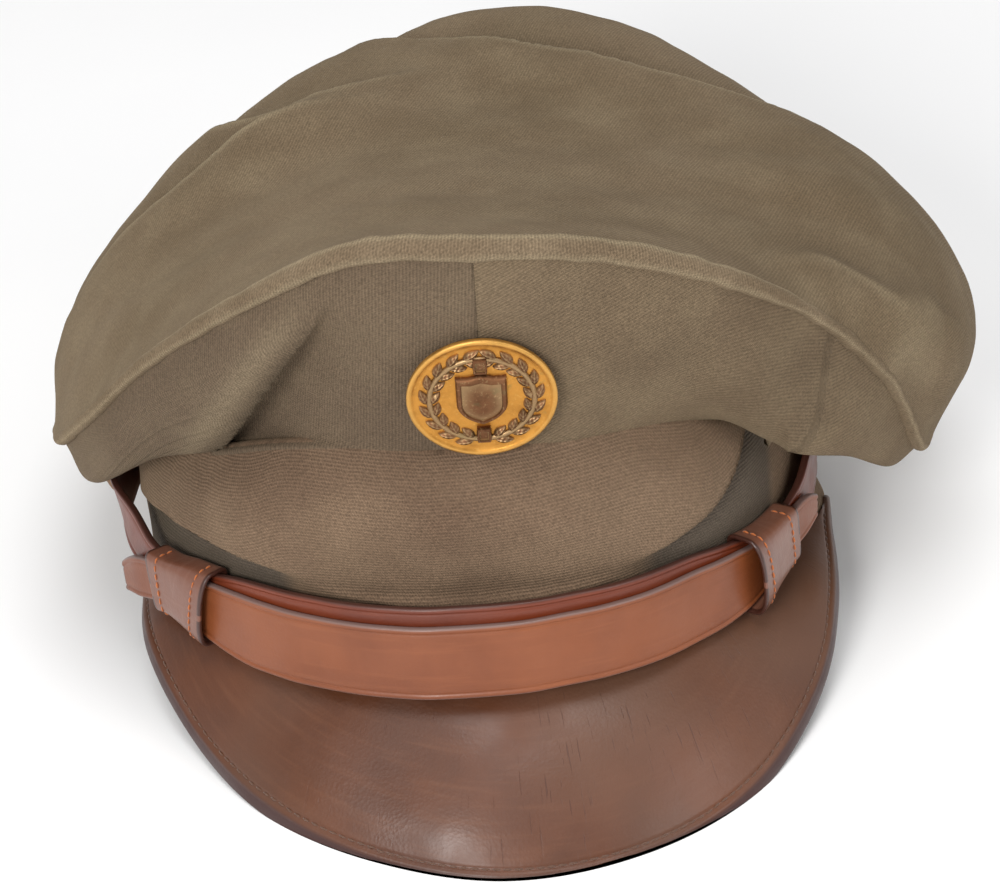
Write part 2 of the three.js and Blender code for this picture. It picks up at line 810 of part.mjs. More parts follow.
// Places a part made about the origin, facing +Z, on a frame that faces outward.
function place(geometry, position, out, up) {
  const side = new THREE.Vector3().crossVectors(up, out).normalize();
  const trueUp = new THREE.Vector3().crossVectors(out, side).normalize();
  geometry.applyMatrix4(new THREE.Matrix4().makeBasis(side, trueUp, out));
  geometry.translate(position.x, position.y, position.z);
  return facingOut(compact(geometry));
}

function lathe(points, segments) {
  const outline = points.map(([r, z]) => new THREE.Vector2(r, z));
  const geometry = new THREE.LatheGeometry(outline, segments);
  geometry.rotateX(Math.PI / 2);
  return geometry;
}

// Point, outward direction and up direction on the front panel at the badge
function badgeFrame() {
  const profile = sideProfile(0);
  let i = 0;
  while (profile[i + 1][1] < BADGE_HEIGHT) {
    i += 1;
  }
  const [r0, z0] = profile[i];
  const [r1, z1] = profile[i + 1];
  const up = new THREE.Vector3(0, r0 - r1, z1 - z0).normalize();
  const out = new THREE.Vector3(0, -up.z, up.y);
  const r = THREE.MathUtils.mapLinear(BADGE_HEIGHT, z0, z1, r0, r1);
  return { point: new THREE.Vector3(0, -r, BADGE_HEIGHT), out, up };
}

function buildBadgeDisc() {
  const { point, out, up } = badgeFrame();
  const R = BADGE_RADIUS;
  const face = BADGE_WALL - BADGE_SUNK;
  const disc = lathe([[0, 0], [R - BADGE_SUNK, 0], [R, BADGE_SUNK], [R, BADGE_WALL],
    [R - BADGE_RIM, BADGE_WALL + 0.5 * BADGE_SUNK], [R - 2 * BADGE_RIM, face], [0, face]], DISC_SIDES);
  return place(disc, point.clone().addScaledVector(out, BADGE_STAND_OFF), out, up);
}

function leaf(x, y, turn) {
  const geometry = new THREE.SphereGeometry(1, 8, 4);
  geometry.rotateX(Math.PI / 2);
  geometry.scale(LEAF.width, LEAF.length, LEAF.height);
  geometry.rotateZ(turn);
  geometry.translate(x, y, 0);
  return geometry;
}

function shieldShape(width, height) {
  const shape = new THREE.Shape();
  shape.moveTo(-width, height);
  shape.lineTo(width, height);
  shape.lineTo(width, -0.1 * height);
  shape.quadraticCurveTo(width, -0.7 * height, 0, -height);
  shape.quadraticCurveTo(-width, -0.7 * height, -width, -0.1 * height);
  return shape;
}

// Two laurel branches round a plain shield, tied at the foot
function buildBadgeDevice() {
  const parts = [];
  for (const side of [-1, 1]) {
    for (let k = 0; k < WREATH_LEAVES; k += 1) {
      const a = THREE.MathUtils.degToRad(LEAF.start + LEAF.step * k);
      const x = side * WREATH_RADIUS * Math.cos(a);
      const y = WREATH_RADIUS * Math.sin(a);
      parts.push(leaf(x, y, side * (a + LEAF.lean)));
    }
  }
  parts.push(new THREE.TorusGeometry(WREATH_RADIUS, STEM.radius, STEM.sides, STEM.steps));
  parts.push(new THREE.ExtrudeGeometry(shieldShape(SHIELD.width, SHIELD.height), {
    depth: SHIELD.depth,
    bevelEnabled: true,
    bevelThickness: SHIELD.bevel,
    bevelSize: SHIELD.bevel,
    bevelSegments: 1,
    curveSegments: 5,
  }));
  for (const y of [TIE.lowY, TIE.highY]) {
    const tie = new THREE.BoxGeometry(TIE.width, TIE.height, TIE.depth);
    tie.translate(0, y, TIE.rise);
    parts.push(tie);
  }
  let solid = null;
  for (const part of parts) {
    const piece = toManifold(facingOut(compact(part)));
    solid = solid ? solid.add(piece) : piece;
  }
  const floor = BADGE_WALL - BADGE_SUNK + GAP;
  const flat = solid.trimByPlane([0, 0, 1], 0).translate([0, 0, floor]);
  const { point, out, up } = badgeFrame();
  const base = point.clone().addScaledVector(out, BADGE_STAND_OFF);
  return place(fromManifold(flat), base, out, up);
}

// A domed button on a short shank, on the outer face of the inner strap
function buildButton({ angle }) {
  const frame = strapFrame(STRAP_INNER, angle);
  const R = BUTTON_RADIUS;
  const dome = lathe([[0, 0], [2.5, 0], [2.5, 0.8], [R - 0.6, 0.8], [R, 1.5], [R - 1.2, 3.4],
    [R - 3.6, 4.8], [0, 5.4]], BUTTON_SIDES);
  const base = frame.centre.clone().addScaledVector(frame.out, 0.5 * STRAP_WALL + GAP);
  return place(dome, base, frame.out, frame.up);
}

// Whole cap

const group = new THREE.Group();
group.name = 'crusher_cap';

const pieces = [
  ['crown_top', 'olive_cloth', buildCrownTop(), true],
  ['crown_side_left', 'olive_cloth', buildCrownSide(-1), true],
  ['crown_side_right', 'olive_cloth', buildCrownSide(1), true],
  ['crown_welt', 'olive_cloth', buildWelt(), true],
  ['band', 'band_cloth', buildBand(), true],
  ['visor', 'visor_leather', buildVisor(), true],
  ['strap_outer', 'strap_leather', buildStrap(STRAP_OUTER), false],
  ['strap_inner', 'strap_leather', buildStrap(STRAP_INNER), false],
  ...KEEPERS.map((keeper) => [keeper.name, 'strap_leather', buildKeeper(keeper), false]),
  ['badge_disc', 'brass', buildBadgeDisc(), false],
  ['badge_device', 'dark_bronze', buildBadgeDevice(), false],
  ...BUTTONS.map((button) => [button.name, 'dark_bronze', buildButton(button), false]),
];

// Leans the cap back on the foot of its band and presses the soft edges flat.
const lean = new THREE.Matrix4().makeRotationX(-LEAN);
const lift = BAND_HALF_Y * Math.sin(LEAN) - SETTLE;
for (const [name, look, geometry, soft] of pieces) {
  geometry.applyMatrix4(lean);
  geometry.translate(0, 0, lift);
  if (soft) {
    const position = geometry.getAttribute('position');
    for (let i = 0; i < position.count; i += 1) {
      position.setZ(i, Math.max(0, position.getZ(i)));
    }
  }
  const material = new THREE.MeshStandardMaterial(LOOKS[look]);
  material.name = look;
  const mesh = new THREE.Mesh(geometry, material);
  mesh.name = name;
  group.add(mesh);
}

// Centres the cap in plan.
const box = new THREE.Box3().setFromObject(group);
const middle = box.getCenter(new THREE.Vector3());
for (const mesh of group.children) {
  mesh.geometry.translate(-middle.x, -middle.y, 0);
}

export default group;
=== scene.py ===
from math import cos, pi, radians, sin, sqrt

import bpy
import numpy as np
from mathutils import Matrix, Vector


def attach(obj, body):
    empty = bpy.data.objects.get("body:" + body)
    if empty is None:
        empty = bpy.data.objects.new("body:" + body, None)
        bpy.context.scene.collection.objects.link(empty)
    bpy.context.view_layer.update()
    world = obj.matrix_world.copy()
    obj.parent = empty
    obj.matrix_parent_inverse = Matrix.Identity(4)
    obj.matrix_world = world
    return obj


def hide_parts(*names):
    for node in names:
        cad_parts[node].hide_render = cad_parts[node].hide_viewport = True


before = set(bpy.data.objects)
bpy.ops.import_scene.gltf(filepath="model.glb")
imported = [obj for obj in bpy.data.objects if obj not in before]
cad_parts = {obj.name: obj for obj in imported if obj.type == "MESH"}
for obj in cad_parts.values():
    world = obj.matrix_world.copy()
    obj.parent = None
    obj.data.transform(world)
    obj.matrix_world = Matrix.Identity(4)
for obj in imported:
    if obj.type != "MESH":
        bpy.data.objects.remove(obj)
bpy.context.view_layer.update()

# Soft crushed cap with a leather visor. The tables and curves repeat the part's own, in
# millimetres, in a frame whose axis runs up the middle of the head. to_part() leans them
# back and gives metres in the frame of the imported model.

LEAN = radians(9.5)
SETTLE = 1.0
PLAN = (7.94292, 1.17543)
BAND_SHIFT_X, BAND_HALF_X, BAND_HALF_Y, BAND_TUCK = -5.0, 94.5, 97.0, 0.6
GAP, SEAM_HALF_GAP = 0.3, 0.02
TOP_WALL, SIDE_WALL, BAND_WALL, VISOR_WALL, STRAP_WALL = 2.0, 2.0, 2.8, 2.75, 2.0
WELT_RADIUS, WELT_FRONT = 2.3, 1.0
CROWN_CENTRE_Z, MID_RADIUS = 117.0, 60.0
CURVE_STEPS = 240
BADGE_HEIGHT, BADGE_STAND_OFF, BADGE_RADIUS = 83.5, 0.8, 19.0


def table(text):
    """Columns of numbers by the names in the first line."""
    names, *rows = [line.split() for line in text.strip().splitlines()]
    return {name: np.array([row[i] for row in rows], float) for i, name in enumerate(names)}


CROWN = table("""
  angle lobeR lobeZ seamR seamZ shoulderR shoulderZ upperR upperZ midZ
  -165 113   40   128    68 130    90 103   114 118
  -150 113   37   127    60 127    81  96   110 118
  -120 113   31   125    45 123    64 101    92 112
   -90 114   25   121    38 121    58 104    84 107
   -75 115   30   122    45 118    64 101    86 107
   -60 115   46   122    64 114    79  98    95 110
   -45 112   72   119    90 111    98  95   106 114
   -30 109   88   116   111 106   115  92   117 118
   -15 107   96 113.7   126 104 126.5  90   124 120
     0 106   97   113   127 103   128  90 125.5 120
    15 107   95 113.7 123.5 104   125  90 123.5 120
    30 109   88   116   112 107 115.5  92 116.5 117
    45 108   54   119    93 113   101  97   108 114
    60 114   38   123  63.5 126    82 104   101 113
    75 116 21.5   124  28.5 136    62 108   101 112
    90 116   20   126    27 140    54 110    99 112
   120 114   29   127    41 135    62 108    96 113
   150 113   37   128    60 131    83 105   113 117
   170 113   40   129    69 131    91 105   119 119
""")

# Ridges of the folds in the top panel, from left to right: plan point, rise, depth behind
FOLDS = [
    [(-116, -3, 1, 2), (-101, 1, 3.5, 4), (-84, 5, 5.5, 6), (-67, 14, 6, 6), (-55, 19, 4, 4),
     (-40, 24, 1, 0)],
    [(-99, 58, 1, 2), (-81, 49, 4, 5), (-67, 36, 6, 6), (-53, 31, 6, 6), (-39, 33, 4, 4),
     (-25, 39, 2, 2), (-10, 44, 0, 0)],
    [(-44, 100, -2, 6), (-27, 85, 0, 7), (-6, 67, 3.5, 7), (9, 57, 5.5, 7), (28, 47, 6.5, 7),
     (46, 39, 6.5, 7), (64, 36, 6, 7), (84, 34, 4.5, 6), (106, 34, 1.5, 4)],
    [(72, -82, 0, 0), (88, -67, 1.6, 1), (98, -65, 2.2, 1.6), (111, -61, 2.2, 1.6),
     (122, -47, 1.4, 1)],
]
FOLD_FRONT, FOLD_BACK, FOLD_RECOVERY = 20.0, 5.0, 17.0

# Creases in the side panels, from the top: point, depth on the side towards the badge
CREASES = [
    [(-36, -106, 114, 0), (-41, -103.5, 108, 2.5), (-46, -101, 102, 5.5), (-52, -98, 96, 8.0),
     (-58, -93.5, 88, 9.5), (-64, -88, 79, 10.0), (-70, -79, 67, 9.5), (-75, -66, 56, 8.0)],
    [(76, -86, 70, 0), (79, -82, 62, 0.5), (81, -78, 54, 1.6), (81, -71, 46, 3.0)],
]
CREASE_STEP, CREASE_RUN, CREASE_OVERLAP = 2.2, 22.0, 0.8

BAND = table("""
  angle topZ bulge bulgeZ
  -150 46 1.0 24
  -120 45 0.7 23
   -90 44 0.3 20
   -70 46 0.3 22
   -50 54 2.5 32
   -30 64 6.5 44
     0 64 8.0 46
    30 62 6.5 44
    50 52 2.5 32
    70 46 0.3 24
    90 44 0.3 22
   150 46 1.0 24
""")

# Lower edge of the browner cloth that sags over the band: height and overhang by angle
SAG = table("""
  angle z drop
  -80 27 0.0
  -71 29 2.6
  -57 32 3.2
  -46 33 3.0
  -37 31 2.2
  -28 26 0.0
   20 26 0.0
   28 31 1.6
   34 37 2.6
   40 43 3.2
   47 49 3.4
   58 55 0.0
""")

VISOR = table("""
  angle r z
  -80 101.5  -3.5
  -72 105.6  -6.0
  -66 109.0  -6.8
  -60 112.2  -8.5
  -52 115.4 -14.8
  -45 117.8 -22.0
  -30 126.0 -30.5
  -15 132.2 -36.8
    0 137.0 -39.0
   15 134.5 -38.2
   30 128.5 -32.5
   45 119.5 -20.0
   52 114.6 -14.0
   60 108.5  -8.0
   70 102.2  -4.5
   78  98.8  -2.2
   86  97.8  -0.8
""")

# How far the band's lower edge flares out beside the visor's right end
FLARE = table("""
  angle out
   60   0
   72 2.0
   80 5.6
   88 7.0
   98 5.0
  112   0
""")

STRAP_OUTER = table("""
  angle r z width twist
  -67.5 111.0  6.6  8.5 0
    -64 110.4  9.4 11.5 0
    -60 109.5 11.6   12 0
  -54.5 108.6 13.4   12 0
    -50 107.9 13.0   15 0
    -45 107.4 11.2   18 0
    -39 107.5 10.0 20.5 0
    -32 108.2  9.7   21 0
    -22 109.1  9.8   21 0
    -13 109.6 10.0   21 0
     -2 109.3 10.6   21 0
      9 108.0 11.1   21 0
     21 105.2 10.9   21 0
     32 101.6 10.8   21 0
     42 100.2 11.7 18.5 0
     49  99.1 13.6 14.5 0
     56  98.3 15.4   12 0
     62  98.1 15.8   11 0
     66  98.2 15.2    7 0
""")

STRAP_INNER = table("""
  angle r z width twist
    -92 103.6 21.6   13 18
    -84 105.3 22.2   13 20
    -76 107.4 22.3   13 12
    -68 107.2   19 12.5 -6
    -62 106.8 15.6   12 -2
  -54.5 106.2 13.8   12  0
    -50 105.5 13.6   15  0
    -45 105.0 13.0   18  0
    -39 105.1 13.4 20.5  0
    -32 105.8 13.8   21  0
    -22 106.7 14.2   21  0
    -13 107.2 14.6   21  0
     -2 106.9 15.2   21  0
      9 105.6 15.4   21  0
     21 102.8 15.0   21  0
     32  99.2 14.2   21  0
     42  97.8 13.4 18.5  0
     49  96.7 14.0 14.5  0
     56  95.9 15.8   12  0
     63  95.4 18.4   12  0
     71  94.2 20.4   17  0
     80  93.4 20.9 15.6  0
     88  93.0 20.6 15.4  0
     97  92.6 19.6 15.4  0
""")

# Node, angles of both ends, room round the straps at both ends
KEEPERS = [("keeper_left", -57, -45.5, 0.9, 2.6), ("keeper_right", 55.5, 42.5, 0.8, 4.8)]
KEEPER_WALL, KEEPER_EDGE_ROOM = 1.4, 0.9
BUTTONS = [("side_button_left", -87.0), ("side_button_right", 90.0)]


# Curves and grids

def unit(v):
    return v / np.maximum(np.linalg.norm(v, axis=-1, keepdims=True), 1e-9)


def around(count):
    """Angles of evenly spaced points round the cap, in degrees."""
    return -180 + 360 * np.arange(count) / count


def circle(count):
    """Angles of evenly spaced points round a section, in radians."""
    return 2 * np.pi * np.arange(count) / count


def column(rows, key, angle, wraps=True):
    """Values of one column at angles, on a smooth curve through the rows."""
    at = np.asarray(angle, float)
    a, v = rows["angle"], rows[key]
    if wraps:
        a = np.concatenate([a[-2:] - 360, a, a[:3] + 360])
        v = np.concatenate([v[-2:], v, v[:3]])
        at = (at - a[2]) % 360 + a[2]
    else:
        a = np.concatenate([a[:1] - 1e-9, a, a[-1:] + 1e-9])
        v = np.concatenate([v[:1], v, v[-1:]])
        at = np.clip(at, a[1], a[-2])
    i = np.clip(np.searchsorted(a, at, side="right") - 1, 1, len(a) - 3)
    gap = np.diff(a)
    slope = np.diff(v) / gap
    if not wraps:
        slope[0], slope[-1] = slope[1], slope[-2]
    span = gap[i]
    t = (at - a[i]) / span
    start = 0.5 * (slope[i - 1] + slope[i]) * span
    end = 0.5 * (slope[i] + slope[i + 1]) * span
    t2, t3 = t * t, t * t * t
    return ((2 * t3 - 3 * t2 + 1) * v[i] + (t3 - 2 * t2 + t) * start
            + (3 * t2 - 2 * t3) * v[i + 1] + (t3 - t2) * end)


def polar(angle, r, z):
    a = np.radians(angle)
    r, z = np.asarray(r, float), np.asarray(z, float)
    return np.stack(np.broadcast_arrays(r * np.sin(a), -r * np.cos(a), z), -1)


def smoothstep(x, low, high):
    t = np.clip((np.asarray(x, float) - low) / (high - low), 0, 1)
    return t * t * (3 - 2 * t)


def band_radius(angle):
    a = np.radians(angle)
    ux, uy, sx = np.sin(a) / BAND_HALF_X, np.cos(a) / BAND_HALF_Y, BAND_SHIFT_X / BAND_HALF_X
    qa, qb, qc = ux * ux + uy * uy, -2 * ux * sx, sx * sx - 1
    return (-qb + np.sqrt(qb * qb - 4 * qa * qc)) / (2 * qa)


def band_flare(angle):
    return column(FLARE, "out", angle, False)


def curve_line(points):
    """Points[k][n] = (r, z) of n columns: a centripetal curve through each column."""
    p = np.stack([np.stack(np.broadcast_arrays(*q), -1) for q in points], 0).astype(float)
    p = np.concatenate([2 * p[:1] - p[1:2], p, 2 * p[-1:] - p[-2:-1]], 0)
    d = np.maximum(np.sqrt(np.linalg.norm(np.diff(p, axis=0), axis=-1)), 1e-6)[..., None]
    spans = len(p) - 3
    line = []
    for k in range(CURVE_STEPS + 1):
        x = k / CURVE_STEPS * spans
        i = min(int(x), spans - 1)
        t = x - i
        x0, x1, x2, x3 = p[i:i + 4]
        d0, d1, d2 = d[i:i + 3]
        t1 = ((x1 - x0) / d0 - (x2 - x0) / (d0 + d1) + (x2 - x1) / d1) * d1
        t2 = ((x2 - x1) / d1 - (x3 - x1) / (d1 + d2) + (x3 - x2) / d2) * d1
        line.append(x1 + t1 * t + (-3 * x1 + 3 * x2 - 2 * t1 - t2) * t * t
                    + (2 * x1 - 2 * x2 + t1 + t2) * t * t * t)
    return np.array(line)


def profile_points(points, shares, short=0.0):
    """Points at shares of each column's length. Returns rows x columns x (r, z)."""
    line = curve_line(points)
    out = np.zeros((len(shares), line.shape[1], 2))
    for n in range(line.shape[1]):
        c = line[:, n]
        c = c[np.linalg.norm(c - c[-1], axis=1) >= short]
        s = np.concatenate([[0], np.cumsum(np.linalg.norm(np.diff(c, axis=0), axis=1))])
        for m in range(2):
            out[:, n, m] = np.interp(np.asarray(shares) * s[-1], s, c[:, m])
    return out


def ripples(p, wavelength, seed, waves=16):
    """Smooth pseudo random height, about -1 to 1, at points p in millimetres."""
    rng = np.random.default_rng(seed)
    total = np.zeros(p.shape[:-1])
    for _ in range(waves):
        way = rng.normal(size=3)
        way /= np.linalg.norm(way)
        wave = 2 * pi / (wavelength * rng.uniform(0.7, 1.5))
        total += np.sin(p @ way * wave + rng.uniform(0, 2 * pi))
    return total / sqrt(waves)


def grid_normals(grid, closed):
    if closed:
        across = np.roll(grid, -1, 1) - np.roll(grid, 1, 1)
    else:
        across = np.gradient(grid, axis=1)
    along = np.gradient(grid, axis=0)
    return unit(np.cross(along, across))


def path_lengths(grid, axis):
    step = np.linalg.norm(np.diff(grid, axis=axis), axis=-1)
    pad = [(0, 0), (0, 0)]
    pad[axis] = (1, 0)
    return np.cumsum(np.pad(step, pad), axis=axis)


def to_part(p, soft=True):
    """Millimetres in the head's frame to metres in the part's frame."""
    p = np.asarray(p, float)
    c, s = cos(LEAN), sin(LEAN)
    x = p[..., 0] - PLAN[0]
    y = p[..., 1] * c + p[..., 2] * s - PLAN[1]
    z = -p[..., 1] * s + p[..., 2] * c + BAND_HALF_Y * s - SETTLE
    if soft:
        z = np.maximum(z, 0)
    return np.stack([x, y, z], -1) / 1000


# Meshes

def place_object(name, data):
    obj = bpy.data.objects.new(name, data)
    bpy.context.scene.collection.objects.link(obj)
    return obj


def make_piece(name, points, faces, loops_uv, material, slot, node=None, smooth_angle=None):
    """A mesh piece that rides on the cap. loops_uv maps a layer name to a list of corners."""
    mesh = bpy.data.meshes.new(name)
    mesh.from_pydata(points.tolist(), [], faces)
    for layer, corners in loops_uv.items():
        uv = mesh.uv_layers.new(name=layer)
        uv.data.foreach_set("uv", np.asarray(corners, np.float32).ravel())
    mesh.validate()
    mesh.shade_smooth()
    if smooth_angle:
        mesh.set_sharp_from_angle(angle=radians(smooth_angle))
    mesh.materials.append(material)
    obj = place_object(name, mesh)
    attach(obj, "root")
    if node:
        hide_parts(node)
    return obj


def quad_grid(rows, cols, wrap_rows, wrap_cols, flip):
    """Corner indices and texture corner indices of a grid of quads."""
    faces, corners = [], []
    for i in range(rows if wrap_rows else rows - 1):
        for j in range(cols if wrap_cols else cols - 1):
            quad = [(i, j), (i + 1, j), (i + 1, j + 1), (i, j + 1)]
            if flip:
                quad.reverse()
            faces.append([(a % rows) * cols + b % cols for a, b in quad])
            corners.extend(quad)
    return faces, np.array(corners)


def rod_faces(rows, sides):
    """Faces of a skin over rings of points, with a cap on the first and the last ring."""
    faces, _ = quad_grid(rows, sides, False, True, True)
    return faces + [list(reversed(range(sides))), [(rows - 1) * sides + j for j in range(sides)]]


def joined(parts):
    """Points and faces of several parts, each a list of rings and its faces or None."""
    points, faces = [], []
    for rings, skin in parts:
        start = len(points)
        points.extend(np.concatenate(rings))
        skin = skin or rod_faces(len(rings), len(rings[0]))
        faces.extend([v + start for v in f] for f in skin)
    return np.array(points), faces


def wrap_uv(uv, wrap_rows, wrap_cols, span_rows, span_cols):
    """A texture grid with one more row or column where the mesh goes right round."""
    if wrap_cols:
        uv = np.concatenate([uv, uv[:, :1] + span_cols], 1)
    if wrap_rows:
        uv = np.concatenate([uv, uv[:1] + span_rows], 0)
    return uv


def outward(points, faces, layers):
    """Faces and their texture corners, reversed where the skin would be inside out."""
    p = points - points.mean(0)
    volume = 0.0
    for f in faces:
        for k in range(1, len(f) - 1):
            volume += np.dot(p[f[0]], np.cross(p[f[k]], p[f[k + 1]]))
    if volume > 0:
        return faces, layers
    return ([f[::-1] for f in reversed(faces)],
            {layer: corners[::-1] for layer, corners in layers.items()})


def shell(name, outer, inner, uvs, material, slot, node, closed, rim=3, soft=True):
    """A wall between two grids, with rounded rims. Its rows start and end at the rims."""
    def rim_rows(a, b, towards):
        mid = 0.5 * (a + b)
        half = 0.5 * (a - b)
        out = unit(towards)
        turns = [pi * k / (rim + 1) for k in range(1, rim + 1)]
        size = 0.5 * np.linalg.norm(a - b, axis=-1, keepdims=True)
        return [mid + half * cos(t) + out * size * sin(t) for t in turns]

    end = rim_rows(outer[-1], inner[-1], outer[-1] - outer[-2])
    start = rim_rows(inner[0], outer[0], outer[0] - outer[1])
    ring = np.concatenate([outer, np.array(end), inner[::-1], np.array(start)], 0)
    texture = {}
    for layer, uv in uvs.items():
        last, first = [uv[-1]] * rim, [uv[0]] * rim
        texture[layer] = np.concatenate([uv, np.array(last), uv[::-1], np.array(first)], 0)
    return tube(name, ring, texture, material, slot, node, closed, soft)


def tube(name, ring, uvs, material, slot, node, closed_cols, soft=True, turn_span=None):
    """A closed skin: its rows go round the section, its columns along the piece."""
    rows, cols = ring.shape[:2]
    points = to_part(ring, soft).reshape(-1, 3)
    faces, corners = quad_grid(rows, cols, True, closed_cols, False)
    layers = {}
    for layer, uv in uvs.items():
        shift = np.array((turn_span or {}).get(layer, (0, 0)))
        full = wrap_uv(uv, True, closed_cols, shift, span(uv, closed_cols))
        layers[layer] = full[corners[:, 0], corners[:, 1]]
    if not closed_cols:
        for j, back in ((0, False), (cols - 1, True)):
            cap = [i * cols + j for i in range(rows)]
            if not back:
                cap.reverse()
            faces.append(cap)
            for layer, uv in uvs.items():
                order = [c // cols for c in cap]
                layers[layer] = np.concatenate([layers[layer], uv[order, j]], 0)
    return make_piece(name, points, *outward(points, faces, layers), material, slot, node)


def span(uv, closed):
    """How far the texture moves on where a closed grid meets itself."""
    if not closed:
        return 0
    return np.mean(uv[:, -1] - uv[:, 0]) * np.array([1, 0]) * len(uv[0]) / (len(uv[0]) - 1)


# Materials

def colour(hex_text):
    values = [int(hex_text[i:i + 2], 16) / 255 for i in (0, 2, 4)]
    return [v / 12.92 if v <= 0.04045 else ((v + 0.055) / 1.055) ** 2.4 for v in values] + [1.0]


class Look:
    """A node material and short ways to add to it."""

    def __init__(self, name, roughness, metallic=0.0):
        self.material = bpy.data.materials.new(name)
        self.material.use_nodes = True
        self.tree = self.material.node_tree
        self.shader = self.tree.nodes["Principled BSDF"]
        self.set(Roughness=roughness, Metallic=metallic)

    def add(self, kind, **settings):
        node = self.tree.nodes.new(kind)
        for key, value in settings.items():
            if key in node.inputs:
                self.put(node.inputs[key], value)
            else:
                setattr(node, key, value)
        return node

    def put(self, socket, value):
        """A link, a number, or a colour in hexadecimal digits."""
        if isinstance(value, bpy.types.NodeSocket):
            self.tree.links.new(value, socket)
        else:
            socket.default_value = colour(value) if isinstance(value, str) else value

    def set(self, **settings):
        for key, value in settings.items():
            self.put(self.shader.inputs[key.replace("_", " ")], value)

    def space(self):
        return self.add("ShaderNodeTexCoord").outputs["Object"]

    def layer(self, name, turn=0.0, scale=(1, 1, 1)):
        uv = self.add("ShaderNodeUVMap", uv_map=name).outputs[0]
        return self.add("ShaderNodeMapping", Vector=uv, Scale=scale,
                        Rotation=(0, 0, radians(turn))).outputs[0]

    def split(self, vector):
        return self.add("ShaderNodeSeparateXYZ", Vector=vector).outputs[:2]

    def noise(self, vector, scale, detail=3.0, rough=0.55):
        return self.add("ShaderNodeTexNoise", Vector=vector, Scale=scale, Detail=detail,
                        Roughness=rough).outputs[0]

    def wave(self, vector, pitch):
        """Slightly wavy threads, a pitch of metres apart."""
        node = self.add("ShaderNodeTexWave", Vector=vector, Scale=2 * pi / 20 / pitch,
                        Distortion=0.9)
        node.inputs["Detail Scale"].default_value = 3.0
        return node.outputs["Fac"]

    def ramp(self, value, low, high, to_low=0.0, to_high=1.0):
        node = self.add("ShaderNodeMapRange", clamp=True, interpolation_type="SMOOTHSTEP",
                        Value=value)
        for key, number in (("From Min", low), ("From Max", high), ("To Min", to_low),
                            ("To Max", to_high)):
            node.inputs[key].default_value = number
        return node.outputs[0]

    def times(self, a, b, operation="MULTIPLY"):
        node = self.add("ShaderNodeMath", operation=operation)
        self.put(node.inputs[0], a)
        self.put(node.inputs[1], b)
        return node.outputs[0]

    def sum(self, a, share_a, b, share_b):
        return self.times(self.times(a, share_a), self.times(b, share_b), "ADD")

    def mix(self, factor, a, b, blend="MIX"):
        node = self.add("ShaderNodeMix", data_type="RGBA", blend_type=blend)
        self.put(node.inputs["Factor"], factor)
        self.put(node.inputs[6], a)
        self.put(node.inputs[7], b)
        return node.outputs[2]

    def bump(self, height, distance, strength=1.0, before=None):
        node = self.add("ShaderNodeBump", Strength=strength, Distance=distance, Height=height)
        if before:
            self.put(node.inputs["Normal"], before)
        return node.outputs[0]


def cloth(name, base, dark, light, turn, pitch=0.00085, rib_depth=0.00018, recess=None):
    """Ribbed cloth. Its layer "zone" says where to paint a highlight and a shade, or where it is
    recessed.
    """
    look = Look(name, 0.92)
    space = look.space()
    ribs = look.wave(look.layer("weave", turn), pitch)
    cross = look.wave(look.layer("weave", turn + 62), pitch * 0.72)
    fuzz = look.noise(space, 1500, 4, 0.7)
    weave = look.sum(ribs, 0.62, cross, 0.38)
    tone = look.mix(look.ramp(look.noise(space, 14, 4), 0.3, 0.7), dark, base)
    tone = look.mix(look.ramp(look.noise(space, 55), 0.35, 0.8, 0, 0.45), tone, light)
    zone, shade = look.split(look.layer("zone"))
    if recess:
        tone = look.mix(zone, tone, recess)
    else:
        # Painted highlight on fold ridges, crease lobes and the seam roll
        tone = look.mix(look.times(zone, 0.5), tone, "a49579")
        # Painted shade behind fold ridges and in the creases
        tone = look.mix(look.times(shade, 0.4), tone, "3a3025")
    tone = look.mix(1.0, tone, look.ramp(weave, 0.1, 0.9, 0.8, 1.12), "MULTIPLY")
    tone = look.mix(1.0, tone, look.ramp(fuzz, 0.3, 0.72, 0.74, 1.24), "MULTIPLY")
    look.set(Base_Color=tone, Sheen_Weight=0.2, Sheen_Roughness=0.55, Sheen_Tint="b9a888",
             Specular_IOR_Level=0.15)
    look.set(Normal=look.bump(fuzz, 0.00025, 0.7, look.bump(weave, rib_depth)))
    return look.material


